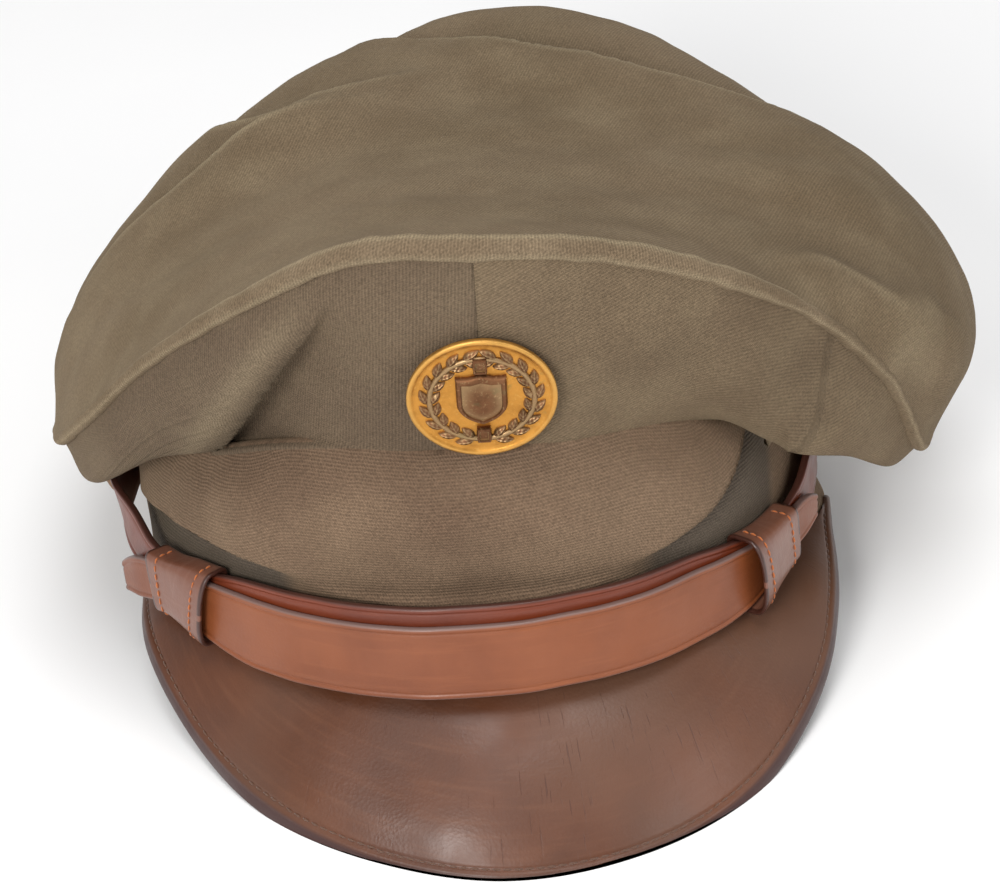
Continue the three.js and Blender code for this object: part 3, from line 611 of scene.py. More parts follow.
def leather(name, base, dark, light, edge, roughness, coat, crack=0.0, edge_width=0.0008,
            patina_and_sheen=None):
    """Leather whose layer "edge" holds metres from the cut edge and along the piece."""
    look = Look(name, roughness)
    space = look.space()
    near, _ = look.split(look.layer("edge"))
    grain = look.noise(space, 900, 4, 0.6)
    pores = look.add("ShaderNodeTexVoronoi", Vector=space, Scale=1100.0)
    tone = look.mix(look.ramp(look.noise(space, 22, 5), 0.3, 0.72), dark, base)
    streak = look.noise(look.layer("edge", 0, (500, 40, 1)), 1.0)
    tone = look.mix(look.ramp(streak, 0.45, 0.8, 0, 0.35), tone, light)
    if patina_and_sheen:
        # Grey-brown blotches: partly an aged tone of the leather, partly a painted sheen of the
        # pale surroundings
        tone = look.mix(look.ramp(look.noise(space, 9, 2), 0.42, 0.68, 0, 0.75), tone, patina_and_sheen)
    # Colour along the cut edge: a darker edge on the visor, inner strap and keepers, a painted
    # highlight on the outer strap
    tone = look.mix(look.ramp(near, 0.0, edge_width, 1.0, 0.0), tone, edge)
    bump = look.bump(look.sum(grain, 0.6, pores.outputs["Distance"], 0.5), 0.00009, 0.7)
    if crack:
        lines = look.noise(look.layer("edge", 0, (75, 1100, 1)), 1.0, 3, 0.5)
        where = look.ramp(look.noise(space, 26), 0.46, 0.66)
        cracks = look.times(look.ramp(lines, 0.63, 0.7), where)
        scratch = look.noise(look.layer("edge", 38, (1500, 60, 1)), 1.0, 2)
        scuff = look.ramp(look.noise(space, 17, 2), 0.5, 0.7)
        scratches = look.times(look.ramp(scratch, 0.66, 0.72), scuff)
        tone = look.mix(look.times(cracks, crack), tone, edge)
        tone = look.mix(look.times(scratches, 0.35), tone, light)
        bump = look.bump(cracks, -0.0001, 0.7, bump)
        bump = look.bump(scratches, -0.00005, 0.5, bump)
    rough = look.ramp(look.noise(space, 60, 4), 0.3, 0.8, roughness - 0.08, roughness + 0.14)
    look.set(Base_Color=tone, Roughness=rough, Normal=bump, Coat_Weight=coat,
             Coat_Roughness=0.22)
    return look.material


def metal(name, base, dark, light, roughness, verdigris):
    look = Look(name, roughness, 0.85)
    space = look.space()
    wear = look.noise(space, 160, 5, 0.65)
    pits = look.noise(space, 1200, 3, 0.6)
    tone = look.mix(look.ramp(wear, 0.3, 0.65), dark, base)
    tone = look.mix(look.ramp(pits, 0.55, 0.75, 0, 0.5), tone, light)
    geometry = look.add("ShaderNodeNewGeometry")
    high = look.ramp(geometry.outputs["Pointiness"], 0.5, 0.56)
    tone = look.mix(look.times(high, 0.6), tone, light)
    green = look.ramp(look.noise(space, 210, 4), 0.62, 0.75, 0, verdigris)
    tone = look.mix(green, tone, "5f7a55")
    rough = look.ramp(wear, 0.3, 0.8, roughness - 0.08, roughness + 0.18)
    look.set(Base_Color=tone, Roughness=rough, Normal=look.bump(pits, 0.00012, 0.6))
    return look.material


def thread(name, base, dark):
    look = Look(name, 0.7)
    strand = look.noise(look.space(), 2600, 2)
    look.set(Base_Color=look.mix(strand, dark, base), Sheen_Weight=0.3,
             Normal=look.bump(strand, 0.0001, 0.6))
    return look.material


OLIVE_TOP = cloth("olive_top_twill", "756450", "655541", "7e6f58", 20)
OLIVE_LEFT = cloth("olive_left_twill", "6a5a49", "5d4e40", "726350", 4)
OLIVE_RIGHT = cloth("olive_right_twill", "73624e", "655543", "7e6e57", 58)
OLIVE_WELT = cloth("olive_welt_twill", "756450", "665643", "84745e", 8)
BAND_CLOTH = cloth("band_ribbed_cloth", "786350", "675242", "826b57", 87, 0.00095, 0.00024,
                   recess="574d44")
VISOR_LEATHER = leather("visor_glossy_leather", "63361b", "4e2a16", "6d432a", "3a1c17", 0.46,
                        0.08, crack=0.45, edge_width=0.002, patina_and_sheen="604434")
# Outer strap: its edge colour is a painted highlight along both edges
STRAP_LEATHER = leather("strap_leather_painted_edge_highlight", "874926", "703819", "955632", "77605a", 0.44,
                        0.1)
INNER_LEATHER = leather("inner_strap_leather", "743218", "5a2310", "823f25", "4a2a22", 0.42, 0.1)
KEEPER_LEATHER = leather("keeper_leather", "7f5442", "6b4030", "947062", "3f2118", 0.36, 0.25)
BRASS = metal("worn_orange_brass", "cf9443", "b27a33", "dcae62", 0.42, 0.25)
BRONZE = metal("aged_bronze_relief", "7a5337", "573721", "b79a70", 0.46, 0.2)
ORANGE_THREAD = thread("orange_thread", "c8702f", "a0521f")
BROWN_THREAD = thread("brown_thread", "6d4a34", "4a3022")


# Crown

def crown_row(angle):
    return {key: column(CROWN, key, angle) for key in CROWN if key != "angle"}


def sampled(path, step=14):
    """Points along a smooth line through a path's rows of numbers."""
    rows = np.array(path, float)
    last = len(rows) - 1
    lines = dict(enumerate(rows.T), angle=np.arange(last + 1.0))
    at = np.linspace(0, last, step * last + 1)
    return np.stack([column(lines, key, at, False) for key in range(rows.shape[1])], -1)


def fold_rise(x, y):
    """Height of the folds: a slow rise in front of each ridge, a sharp drop behind it.

    Also gives how much painted highlight each point takes along a ridge and how much painted shade
    it takes behind one.
    """
    total, painted_highlight, shade = np.zeros_like(x), np.zeros_like(x), np.zeros_like(x)
    for path in FOLDS:
        line = sampled(path)
        ahead = unit(np.gradient(line[:, :2], axis=0))
        dx, dy = x[..., None] - line[:, 0], y[..., None] - line[:, 1]
        away = dx * dx + dy * dy
        i = away.argmin(-1)
        near = np.sqrt(away.min(-1))
        dx, dy = x - line[i, 0], y - line[i, 1]
        behind = ahead[i, 0] * dy - ahead[i, 1] * dx > 0
        rise, deep = line[i, 2], line[i, 3]
        front = rise * np.exp(-(near / FOLD_FRONT) ** 2)
        back = ((rise + deep) * np.exp(-(near / FOLD_BACK) ** 2)
                - deep * np.exp(-(near / FOLD_RECOVERY) ** 2))
        total += np.where(behind, back, front)
        strength = np.clip(rise / 5, 0, 1)
        # Painted highlight along each ridge, painted shade in the hollow behind it
        painted_highlight = np.maximum(painted_highlight, strength * np.exp(-(near / 1.7) ** 2))
        shade = np.maximum(shade, behind * strength * smoothstep(near, 0, 3)
                           * np.exp(-(near / 16) ** 2))
    return total, painted_highlight, shade


def crease_depth(p, side):
    """How far the creases go in: a steep step under the lobe, a long run to the front."""
    total, slide, painted_highlight, shade = [np.zeros(p.shape[:-1]) for _ in range(4)]
    for path in CREASES:
        if side * path[0][0] < 0:
            continue
        line = sampled(path)
        cells = p.reshape(-1, 3)
        for k in range(3):
            off = sum((cells[:, None, m] - line[:, m]) ** 2 for m in range(3))
            line[:, :3] = cells[off.argmin(0)]
            line[1:-1, :3] = (line[:-2, :3] + line[1:-1, :3] + line[2:, :3]) / 3
        away = sum((p[..., None, m] - line[:, m]) ** 2 for m in range(3))
        i = away.argmin(-1)
        near = np.sqrt(away.min(-1))
        spot = line[i]
        a = np.arctan2(spot[..., 0], -spot[..., 1])
        turn = (p[..., 0] - spot[..., 0]) * np.cos(a) + (p[..., 1] - spot[..., 1]) * np.sin(a)
        inner_side = turn * -np.sign(spot[..., 0]) > 0
        deep = spot[..., 3]
        step = deep * (1 - np.exp(-(near / CREASE_STEP) ** 2)) * np.exp(-(near / CREASE_RUN) ** 2)
        lobe = -0.32 * deep * np.exp(-((near - 6) / 9) ** 2) * (1 - np.exp(-(near / 2.5) ** 2))
        total += np.where(inner_side, step, lobe)
        slide -= np.sign(spot[..., 0]) * CREASE_OVERLAP * deep * np.where(
            inner_side, np.exp(-(near / 1.8) ** 2), np.exp(-(near / 13) ** 2))
        strength = np.clip(deep / 10, 0, 1)
        # Painted shade in the crease, a narrow painted shadow line along it, and a painted
        # highlight on the lobe beside it
        shade = np.maximum(shade, 0.6 * inner_side * strength * np.exp(-(near / 9) ** 2))
        shade = np.maximum(shade, 1.9 * strength ** 2 * np.exp(-(near / 1.9) ** 2))
        painted_highlight = np.maximum(painted_highlight, ~inner_side * strength * 0.5 * np.exp(-((near - 5) / 3) ** 2))
    return total, slide, painted_highlight, shade


def slide_round(p, run):
    radius = np.hypot(p[..., 0], p[..., 1])
    return polar(np.degrees(np.arctan2(p[..., 0], -p[..., 1]) + run / radius), radius, p[..., 2])


def push_in(p, depth):
    radius = np.hypot(p[..., 0], p[..., 1])
    left = (radius - depth) / radius
    return np.stack([p[..., 0] * left, p[..., 1] * left, p[..., 2]], -1)


def roll_radius(angle):
    turn = np.abs((np.asarray(angle, float) + 180) % 360 - 180)
    return WELT_RADIUS + WELT_FRONT * (1 - smoothstep(turn, 22, 50))


def top_line(angle):
    """The top panel's profile, which ends on the outer side of the rolled seam."""
    row = crown_row(angle)
    zero = np.zeros_like(angle)
    dr, dz = row["seamR"] - row["shoulderR"], row["seamZ"] - row["shoulderZ"]
    length = np.hypot(dr, dz)
    lift = 0.88 * roll_radius(angle)
    return [(zero, zero + CROWN_CENTRE_Z), (zero + MID_RADIUS, row["midZ"]),
            (row["upperR"], row["upperZ"]), (row["shoulderR"], row["shoulderZ"]),
            (row["seamR"] - dz / length * lift, row["seamZ"] + dr / length * lift)]


def side_line(angle):
    row = crown_row(angle)
    return [(band_radius(angle) - BAND_TUCK, column(BAND, "topZ", angle) + GAP),
            (row["lobeR"], row["lobeZ"]), (row["seamR"], row["seamZ"])]


def smooth_middle(grid, inside, outside):
    """Replaces the cone at the middle of the top by a smooth dome."""
    x, y, z = grid[..., 0], grid[..., 1], grid[..., 2]
    r = np.hypot(x, y)
    ring = (r > inside) & (r < outside)
    a, b = x / outside, y / outside
    terms = np.stack([np.ones_like(a), a, b, a * a, a * b, b * b, a ** 3, a * a * b, a * b * b,
                      b ** 3, (a * a + b * b) ** 2], -1)
    fit, *_ = np.linalg.lstsq(terms[ring], z[ring], rcond=None)
    dome = terms @ fit
    share = 1 - smoothstep(r, inside, outside)
    grid[..., 2] = z * (1 - share) + dome * share
    return grid


def cloth_relief(p, seed, slow=0.7, fast=0.22):
    return slow * ripples(p, 34, seed) + fast * ripples(p, 11, seed + 1)


def build_crown_top():
    cols, rows = 320, 100
    angle = around(cols)
    shares = 1 - (1 - np.linspace(0.012, 1, rows)) ** 1.25
    line = profile_points(top_line(angle), shares)
    grid = polar(angle[None, :], line[..., 0], line[..., 1])
    grid = smooth_middle(grid, 30.0, 62.0)
    reach = line[:1, :, 0] + path_lengths(grid, 0)
    edge = np.linspace(0, 1, rows)[:, None]
    free = 1 - smoothstep(edge, 0.84, 1.0)
    height, painted_highlight, shade = fold_rise(grid[..., 0], grid[..., 1])
    grid[..., 2] += height * free
    normal = -grid_normals(grid, True)
    normal *= np.sign(normal[:, :, 2:].mean())
    relief = cloth_relief(grid, 3, 0.4, 0.1) * (0.25 + 0.75 * free)
    grid = grid + normal * relief[..., None]
    inner = grid - normal * TOP_WALL
    uv = {"weave": polar(angle[None, :], reach, 0 * reach)[..., :2] / 1000,
          "zone": np.stack([painted_highlight, shade], -1)}
    points = to_part(np.concatenate([grid, inner[::-1]], 0)).reshape(-1, 3)
    faces = rod_faces(2 * rows, cols)
    order = np.concatenate(faces)
    layers = {layer: np.concatenate([v, v[::-1]], 0).reshape(-1, 2)[order]
              for layer, v in uv.items()}
    return make_piece("crown_top_panel", points, *outward(points, faces, layers), OLIVE_TOP,
                      "olive_cloth", "crown_top")


def build_crown_side(side, name, material, node):
    cols, rows = 260, 60
    angle = side * np.linspace(0, 180, cols)
    line = profile_points(side_line(angle), np.linspace(0, 1, rows), 1.2)
    grid = polar(angle[None, :], line[..., 0], line[..., 1])
    share = np.sin(np.pi * np.linspace(0, 1, rows))[:, None] ** 0.5
    u = path_lengths(grid, 1)
    groove = 0.3 * np.exp(-(u / 1.3) ** 2) + 0.8 * np.exp(-((u[:, -1:] - u) / 1.3) ** 2)
    depth, slide, painted_highlight, shade = crease_depth(grid, side)
    badge_away = np.hypot(grid[..., 0], grid[..., 2] - BADGE_HEIGHT) + 99 * (grid[..., 1] > 0)
    depth = (depth * share ** 0.4 + cloth_relief(grid, 11, 0.5, 0.12) * share + groove
             + 1.1 * (1 - smoothstep(badge_away, 20, 30)))
    grid = slide_round(push_in(grid, depth), slide * share ** 0.4)
    grid[:, [0, -1], 0] = side * SEAM_HALF_GAP
    normal = grid_normals(grid, False)
    if (normal[..., :2] * grid[..., :2]).sum() < 0:
        normal = -normal
    inner = grid - normal * SIDE_WALL
    inner[:, [0, -1], 0] = side * SEAM_HALF_GAP
    u = path_lengths(grid, 1) * side
    v = path_lengths(grid, 0)
    uvs = {"weave": np.stack([u, v], -1) / 1000, "zone": np.stack([painted_highlight, shade], -1)}
    return shell(name, grid, inner, uvs, material, "olive_cloth", node, False)


def build_welt():
    cols, sides = 400, 20
    angle = around(cols)
    row = crown_row(angle)
    wobble = 1 + 0.05 * np.sin(angle * 0.9) * np.sin(angle * 0.37)
    turns = circle(sides)
    size = roll_radius(angle) * wobble
    ring = np.stack([polar(angle, row["seamR"] + size * cos(t),
                           row["seamZ"] + size * sin(t)) for t in turns])
    ring = ring + 0.15 * ripples(ring, 9, 29)[..., None]
    u = np.broadcast_to(path_lengths(ring, 1)[:1], ring.shape[:2])
    v = np.broadcast_to((turns * WELT_RADIUS)[:, None], ring.shape[:2])
    uv = np.stack([u, v], -1) / 1000
    # Two painted highlights along the roll's upper and lower edges
    lines = np.exp(-((turns - 1.35) / 0.3) ** 2) + 0.7 * np.exp(-((turns - 5.7) / 0.3) ** 2)
    zone = np.broadcast_to(lines[:, None, None], ring.shape[:2] + (2,)) * np.array([1, 0])
    return tube("crown_seam_roll", ring, {"weave": uv, "zone": zone}, OLIVE_WELT, "olive_cloth",
                "crown_welt", True, True, {"weave": (0, 2 * pi * WELT_RADIUS / 1000)})


# Band

def build_band():
    cols, rows = 340, 96
    angle = around(cols)
    r = band_radius(angle)
    flare = band_flare(angle)
    top, bulge = column(BAND, "topZ", angle), column(BAND, "bulge", angle)
    height = column(BAND, "bulgeZ", angle)
    line = profile_points(
        [(r + flare, 0 * r), (r + 0.35 * bulge + 0.4 * flare, 0.4 * height), (r + bulge, height),
         (r + 0.7 * bulge, 0.5 * (height + top)), (r - BAND_TUCK, top)],
        np.linspace(0, 1, rows))
    z = line[..., 1]
    line_z, drop = column(SAG, "z", angle, False), column(SAG, "drop", angle, False)
    above = z - line_z
    sag = 1.25 * drop * smoothstep(above, -0.4, 1.6) * (1 - smoothstep(above, 8, 26))
    hang = 1.1 * drop * smoothstep(above, 0.5, 2.2) * (1 - smoothstep(above, 3, 14))
    under = 0.5 * drop * np.exp(-(above / 6) ** 2) * (above < 0)
    recess = smoothstep(drop, 0.2, 1.5) * (1 - smoothstep(above, -1, 0.6)) + 0 * z
    share = np.sin(np.pi * np.linspace(0, 1, rows))[:, None] ** 0.5
    outer = polar(angle[None, :], line[..., 0] + share * (sag - under), z - share * hang)
    outer = push_in(outer, -0.5 * share * cloth_relief(outer, 21))
    inner = polar(angle[None, :], line[..., 0] - BAND_WALL, z)
    u = np.broadcast_to(path_lengths(outer, 1)[:1], outer.shape[:2])
    uv = np.stack([u, path_lengths(outer, 0)], -1) / 1000
    uvs = {"weave": uv, "zone": np.stack([recess, recess], -1)}
    return shell("band_cover", outer, inner, uvs, BAND_CLOTH, "band_cloth", "band", True)


# Visor

VISOR_ARCH, VISOR_ARCH_RUN, VISOR_SEAM_GAP, VISOR_SEAM_Z = 3.0, 30.0, 0.6, 1.0
STITCH_INSET, STITCH_REACH = 2.9, 21


def visor_grid(angle, t):
    r0 = band_radius(angle) + band_flare(angle) + VISOR_SEAM_GAP
    r1, z1 = column(VISOR, "r", angle, False), column(VISOR, "z", angle, False)
    arch = VISOR_ARCH * np.minimum(1, (r1 - r0) / VISOR_ARCH_RUN) * 4 * t * (1 - t) / sqrt(2)
    return polar(angle, r0 + (r1 - r0) * t + arch, VISOR_SEAM_Z + (z1 - VISOR_SEAM_Z) * t + arch)


def build_visor():
    cols = 220
    angle = np.linspace(VISOR["angle"][0], VISOR["angle"][-1], cols)
    t = 1 - (1 - np.linspace(0, 1, 64)) ** 1.7
    outer = visor_grid(angle[None, :], t[:, None])
    lengths = path_lengths(outer, 0)
    near = lengths[-1:] - lengths
    normal = grid_normals(outer, False)
    normal *= np.sign(normal[..., 2].mean())
    relief = (0.45 * np.exp(-((near - 1.3) / 1.1) ** 2)
              - 0.35 * np.exp(-((near - STITCH_INSET) / 0.45) ** 2)
              + 0.35 * ripples(outer, 40, 41) * smoothstep(near, 2, 14))
    inner = outer - np.array([0, 0, VISOR_WALL])
    outer = outer + normal * relief[..., None]
    along = path_lengths(outer, 1)[-1:] + 0 * near
    uv = np.stack([near, along], -1) / 1000
    shell("visor_leather", outer, inner, {"edge": uv}, VISOR_LEATHER, "visor_leather",
          "visor", False, rim=7)
    row = np.argmin(np.abs(near - STITCH_INSET), axis=0)
    where = outer[row, np.arange(cols)]
    up = normal[row, np.arange(cols)]
    keep = slice(6, cols - 6)
    stitches("visor_edge_stitches", [(where[keep], up[keep])], BROWN_THREAD, "visor_leather",
             2.1, 0.75, 0.27)


# Stitches

def stitches(name, lines, material, slot, length, gap, radius):
    """Short threads along lines of points with normals, joined in one piece."""
    parts = []
    bows = np.sin(np.linspace(0, pi, 5))
    for line, up in lines:
        s = np.concatenate([[0], np.cumsum(np.linalg.norm(np.diff(line, axis=0), axis=1))])
        count = int(s[-1] / (length + gap))
        for k in range(count):
            a = k * (length + gap)
            at = np.linspace(a, a + length, len(bows))
            mid = np.stack([np.interp(at, s, line[:, m]) for m in range(3)], -1)
            top = np.stack([np.interp(at, s, up[:, m]) for m in range(3)], -1)
            across = np.cross(unit(np.gradient(mid, axis=0)), top)
            rings = []
            for centre, out, high, bow in zip(mid, across, top, bows):
                size = radius * (0.35 + 0.65 * bow)
                centre = centre + high * radius * (0.25 + 0.5 * bow)
                rings.append([centre + size * (out * cos(t) + high * sin(t))
                              for t in circle(6)])
            parts.append((rings, None))
    points, faces = joined(parts)
    return make_piece(name, to_part(points, False), faces, {}, material, slot)


# Straps

def strap_frame(rows, angle):
    def at(a):
        return polar(a, column(rows, "r", a, False), column(rows, "z", a, False))

    centre = at(angle)
    along = unit(at(angle + 0.5) - at(angle - 0.5))
    out = unit(np.cross(along, np.array([0, 0, 1.0])))
    twist = np.radians(column(rows, "twist", angle, False))[..., None]
    out = out * np.cos(twist) + np.cross(along, out) * np.sin(twist)
    return centre, out, unit(np.cross(out, along))


def strap_section(half, wall):
    """Outline of a strap with soft corners and a pressed line near both edges."""
    w = wall / 2
    inset = np.array([0.5, 0.85, 1.15, 1.4, 1.65, 1.9, 2.3, 3.2, 5.0, 7.5])
    dip = 0.22 * np.exp(-((inset - 1.65) / 0.28) ** 2)
    puff = 0.12 * np.exp(-((inset - 0.9) / 0.5) ** 2)
    front = [(w + p - d, half - i) for i, d, p in zip(inset, dip, puff)]
    front = [(a, b) for a, b in front if b > 0.3]
    while len(front) < len(inset):
        front.append((w, 0.3 * (1 - 0.1 * len(front))))
    front = front + [(a, -b) for a, b in reversed(front)]
    c = 0.5
    turns = [pi / 8 * k for k in range(4)]
    top = [(w - c + c * sin(t), half - c + c * cos(t)) for t in turns]
    edge_top = [(-w + 0.3, half - 0.05), (0.0, half + 0.03)] + top
    edge_low = [(a, -b) for a, b in reversed(edge_top)]
    back = [(-w, b) for b in np.linspace(-half + 0.35, half - 0.35, 9)]
    return edge_top + front + edge_low + back


def build_strap(name, rows, material, node):
    steps = 260
    angle = np.linspace(rows["angle"][0], rows["angle"][-1], steps)
    centre, out, up = strap_frame(rows, angle)
    width = column(rows, "width", angle, False)
    sections = [strap_section(0.5 * w, STRAP_WALL) for w in width]
    a = np.array([[p[0] for p in s] for s in sections]).T
    b = np.array([[p[1] for p in s] for s in sections]).T
    ring = centre[None] + a[..., None] * out[None] + b[..., None] * up[None]
    wavy = 0.12 * ripples(centre, 16, 51)
    ring = ring + (wavy[None, :, None] * out[None])
    near = 0.5 * width[None] - np.abs(b)
    along = np.broadcast_to(path_lengths(centre[None], 1), near.shape)
    uv = np.stack([np.maximum(near, 0), along], -1) / 1000
    return tube(name, ring, {"edge": uv}, material, "strap_leather", node, False, False)


def build_keeper(node, tail, mouth, tail_room, mouth_room):
    steps, sides = 30, 72
    angle = np.linspace(tail, mouth, steps)
    t = np.linspace(0, 1, steps)
    centre, out, up = strap_frame(STRAP_OUTER, angle)
    back = strap_frame(STRAP_INNER, angle)[0]
    room = tail_room + (mouth_room - tail_room) * t * t
    rise = ((back - centre) * up).sum(-1)
    depth = ((centre - back) * out).sum(-1)
    flare = 0.5 * (room - tail_room)
    middle = centre + out * (flare - 0.5 * depth)[:, None] + up * (0.5 * rise)[:, None]
    half_out = 0.5 * (depth + STRAP_WALL) + tail_room + flare
    width = column(STRAP_OUTER, "width", angle, False)
    half_up = 0.5 * (width + np.abs(rise)) + KEEPER_EDGE_ROOM
    turns = circle(sides)
    ca, sa = np.cos(turns)[:, None], np.sin(turns)[:, None]
    power = np.where(ca > 0, 0.35 + 0.4 * t[None], 0.35)
    cu = np.sign(ca) * np.abs(ca) ** power
    su = np.sign(sa) * np.abs(sa) ** power

    def ring(grow):
        return (middle[None] + ((half_out[None] + grow) * cu)[..., None] * out[None]
                + ((half_up[None] + grow) * su)[..., None] * up[None])

    inner, outer = ring(0.0), ring(KEEPER_WALL)
    outer, inner = outer.transpose(1, 0, 2), inner.transpose(1, 0, 2)
    s = path_lengths(outer, 0)
    near = np.minimum(s, s[-1:] - s)
    along = path_lengths(outer, 1)
    uv = np.stack([near, along], -1) / 1000
    shell(node + "_loop", outer, inner, {"edge": uv}, KEEPER_LEATHER, "strap_leather", node,
          True, rim=5, soft=False)
    facing = unit(outer - middle[:, None])
    reach = list(range(-STITCH_REACH, STITCH_REACH + 1))
    rows = [int(share * (steps - 1)) for share in (0.2, 0.84)]
    lines = [(outer[row][reach], facing[row][reach]) for row in rows]
    stitches(node + "_loop_stitches", lines, ORANGE_THREAD, "strap_leather", 1.9, 0.5, 0.3)


# Badge and buttons

def badge_place():
    line = profile_points(side_line(np.zeros(1)), np.linspace(0, 1, 9), 2.8)[:, 0]
    i = max(0, int(np.searchsorted(line[:, 1], BADGE_HEIGHT)) - 1)
    (r0, z0), (r1, z1) = line[i], line[i + 1]
    up = unit(np.array([0, r0 - r1, z1 - z0]))
    out = np.array([0, -up[2], up[1]])
    r = r0 + (r1 - r0) * (BADGE_HEIGHT - z0) / (z1 - z0)
    return np.array([0, -r, BADGE_HEIGHT]) + out * BADGE_STAND_OFF, out, up


def placed(local, place):
    """Points of a piece that faces +Z at the origin, put on a frame that faces outward."""
    point, out, up = place
    side = np.cross(up, out)
    return point + local[..., :1] * side + local[..., 1:2] * up + local[..., 2:] * out


def turned(name, outline, sides, place, material, slot, node):
    """A round piece from (radius, height) points, the first and last on the axis."""
    turns = circle(sides)
    points = [(0, 0, outline[0][1])]
    for r, z in outline[1:-1]:
        points.extend((r * cos(t), r * sin(t), z) for t in turns)
    points.append((0, 0, outline[-1][1]))
    last = len(points) - 1
    faces = [[1 + v for v in f] for f in rod_faces(len(outline) - 2, sides)[:-2]]
    for j in range(sides):
        k = (j + 1) % sides
        faces.append([0, 1 + k, 1 + j])
        faces.append([last - sides + j, last - sides + k, last])
    local = np.array(points, float)
    layers = {"weave": (local[:, :2] / 1000)[np.concatenate(faces)]}
    spot = to_part(placed(local, place), False)
    return make_piece(name, spot, *outward(spot, faces, layers), material, slot, node, 40)


def leaf(x, y, turn, length, width, height, base):
    """Rings of points of a pointed leaf with a midrib, each ring across the leaf."""
    rows, across = 17, np.linspace(-1, 1, 11)
    rings = []
    for s in np.linspace(0, 1, rows):
        half = width * sin(pi * s ** 0.85) ** 0.8 + 0.02
        dome = height * np.sqrt(1 - across ** 2) * max(0, sin(pi * s)) ** 0.5
        detail = 0.22 * np.exp(-(across / 0.16) ** 2) + 0.08 * np.sin(26 * s - 5 * abs(across))
        z = base + np.maximum(0, dome + detail * np.minimum(1, dome))
        lx = half * np.append(across, (1, -1))
        ly = length * (2 * s - 1)
        rings.append(np.stack([x + lx * cos(turn) - ly * sin(turn),
                               y + lx * sin(turn) + ly * cos(turn),
                               np.append(z, (base - 0.3, base - 0.3))], -1))
    return rings


def plate(outline, height, base, bevel):
    """Rings of points of a plate with bevelled edges and a raised border."""
    centre = np.mean(outline, axis=0)
    steps = [(1.0, -0.3), (1.0, height * 0.6), (1.0 - bevel, height), (1.0 - 2.6 * bevel, height),
             (1.0 - 3.2 * bevel, height * 0.62), (0.5, height * 0.66), (0.12, height * 0.72)]
    return [np.column_stack([centre + (outline - centre) * share, np.full(len(outline), base + z)])
            for share, z in steps]


def shield_outline(width, height, steps=14):
    side = [(width, height), (width, -0.1 * height)]
    for k in range(1, steps + 1):
        t = k / steps
        x = (1 - t) ** 2 * width + 2 * t * (1 - t) * width
        y = (1 - t) ** 2 * -0.1 * height + 2 * t * (1 - t) * -0.7 * height + t * t * -height
        side.append((x, y))
    crown = [(0, height + 0.8), (0.5 * width, height - 0.2)]
    right = crown + side
    left = [(-x, y) for x, y in reversed(right[1:-1])]
    return right + left


def build_badge(place):
    face = 1.2
    R = BADGE_RADIUS
    outline = [(0, 0), (R - 0.5, 0), (R - 0.15, 0.15), (R, 0.5), (R, 1.3), (R - 0.2, 1.62),
               (R - 0.6, 1.75), (R - 1.1, 1.7), (R - 1.5, 1.4), (R - 1.8, 1.2), (R - 2.6, face),
               (R * 0.6, face + 0.1), (R * 0.25, face + 0.15), (0, face + 0.15)]
    turned("badge_disc_plate", outline, 144, place, BRASS, "brass", "badge_disc")
    base = face + 0.05
    wreath = 13.2
    parts = []
    for side in (-1, 1):
        for k in range(9):
            a = radians(-70 + 19 * k)
            for shift, lean, size in ((1.5, -0.45, 1.0), (-1.4, 0.5, 0.92)):
                x = side * (wreath + shift) * cos(a)
                y = (wreath + shift) * sin(a)
                turn = side * (a + lean)
                parts.append((leaf(x, y, turn, 2.5 * size, 1.25, 1.15, base), None))
    a, b = circle(120)[:, None], circle(8)
    r = wreath + 0.75 * np.cos(b)
    stem = [r * np.cos(a), r * np.sin(a), base + 0.35 + 0.6 * np.sin(b) + 0 * a]
    parts.append((np.stack(stem, -1), quad_grid(120, 8, True, True, False)[0]))
    parts.append((plate(np.array(shield_outline(6.4, 7.6)), 1.6, base, 0.07), None))
    for y in (-11.4, 11.4):
        tie = np.array([(1.7, y + 2.3), (1.9, y), (1.7, y - 2.3), (-1.7, y - 2.3), (-1.9, y),
                        (-1.7, y + 2.3)])
        parts.append((plate(tie, 1.7, base, 0.12), None))
    points, faces = joined(parts)
    make_piece("badge_wreath_and_shield", to_part(placed(points, place), False), faces, {}, BRONZE,
               "dark_bronze", "badge_device", 50)


def build_buttons():
    R = 7.5
    outline = [(0, 0), (2.5, 0), (2.5, 0.8), (R - 0.6, 0.8), (R - 0.1, 1.1), (R, 1.5),
               (R - 0.25, 2.2), (R - 0.7, 2.9), (R - 1.4, 3.5), (R - 2.6, 4.3), (R - 4.0, 4.9),
               (R - 5.8, 5.3), (0, 5.4)]
    for name, angle in BUTTONS:
        centre, out, up = strap_frame(STRAP_INNER, np.array([angle]))
        place = (centre[0] + out[0] * (0.5 * STRAP_WALL + GAP), out[0], up[0])
        turned(name + "_dome", outline, 64, place, BRONZE, "dark_bronze", name)


top = build_crown_top()
left = build_crown_side(-1, "crown_left_panel", OLIVE_LEFT, "crown_side_left")
right = build_crown_side(1, "crown_right_panel", OLIVE_RIGHT, "crown_side_right")
welt = build_welt()
band = build_band()
build_visor()
build_strap("strap_outer_layer", STRAP_OUTER, STRAP_LEATHER, "strap_outer")
build_strap("strap_inner_layer", STRAP_INNER, INNER_LEATHER, "strap_inner")
for keeper in KEEPERS:
    build_keeper(*keeper)
badge = badge_place()
build_badge(badge)
build_buttons()

# Stage

def build_floor():
    mesh = bpy.data.meshes.new("floor")
    s = 4.0
    mesh.from_pydata([(-s, -s, 0), (s, -s, 0), (s, s, 0), (-s, s, 0)], [], [(0, 1, 2, 3)])
    look = Look("pale_floor", 0.85)
    paper = look.noise(look.space(), 6)
    look.set(Base_Color=look.mix(paper, "f6f6f7", "fbfbfb"))
    mesh.materials.append(look.material)
    place_object("floor", mesh)


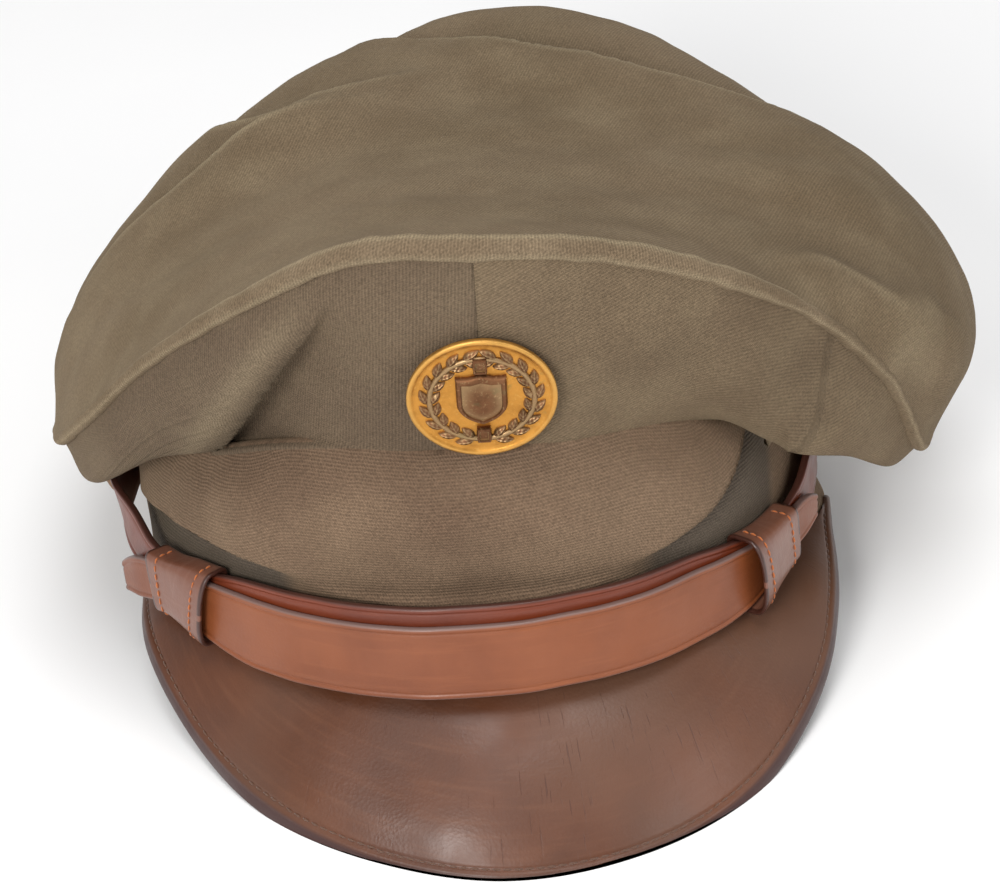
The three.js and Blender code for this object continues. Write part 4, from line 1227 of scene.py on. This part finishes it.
def add_area(name, place, target, size, power, tint=(1, 1, 1)):
    light = bpy.data.lights.new(name, "AREA")
    light.shape = "DISK"
    light.size = size
    light.energy = power
    light.color = tint
    obj = place_object(name, light)
    obj.location = place
    obj.rotation_euler = (Vector(target) - Vector(place)).to_track_quat("-Z", "Y").to_euler()


def build_light():
    world = bpy.data.worlds.new("studio")
    bpy.context.scene.world = world
    world.use_nodes = True
    sky = world.node_tree.nodes["Background"].inputs
    sky["Color"].default_value = (1, 1, 1, 1)
    sky["Strength"].default_value = 0.42
    add_area("key", (-0.45, -1.15, 0.75), (0, 0, 0.06), 0.45, 9.0, (1.0, 0.99, 0.97))
    add_area("side", (0.9, -0.6, 0.7), (0, 0, 0.05), 0.6, 2.0)
    add_area("high", (0.05, -0.25, 1.6), (0, 0.05, 0.03), 0.9, 7.5)
    bpy.context.scene.view_settings.view_transform = "Standard"
    bpy.context.scene.view_settings.exposure = 0.35


AZ, EL, ROLL = radians(0.5), radians(35.0), radians(3.5)
DISTANCE, MM_PER_PIXEL = 760.0, 0.249
BADGE_POINT, BADGE_PIXEL, IMAGE = (0.0, -107.5, 83.5), (482, 402), (1000, 886)


def build_camera():
    """The fitted view: the badge's point lies DISTANCE in front of the camera at its pixel."""
    back = Vector((sin(AZ) * cos(EL), -cos(AZ) * cos(EL), sin(EL)))
    side = Vector((cos(AZ), sin(AZ), 0))
    up = back.cross(side)
    right = side * cos(ROLL) - up * sin(ROLL)
    above = side * sin(ROLL) + up * cos(ROLL)
    point = Vector(to_part(np.array(BADGE_POINT), False).tolist()) * 1000
    u = (BADGE_PIXEL[0] - IMAGE[0] / 2) * MM_PER_PIXEL
    v = -(BADGE_PIXEL[1] - IMAGE[1] / 2) * MM_PER_PIXEL
    where = (point + back * DISTANCE - right * u - above * v) / 1000
    camera = bpy.data.cameras.new("camera")
    camera.sensor_width = 36
    camera.lens = 36 * DISTANCE / MM_PER_PIXEL / IMAGE[0]
    obj = place_object("camera", camera)
    rotation = Matrix((right, above, back)).transposed()
    obj.matrix_world = Matrix.Translation(where) @ rotation.to_4x4()
    bpy.context.scene.camera = obj


build_floor()
build_light()
build_camera()
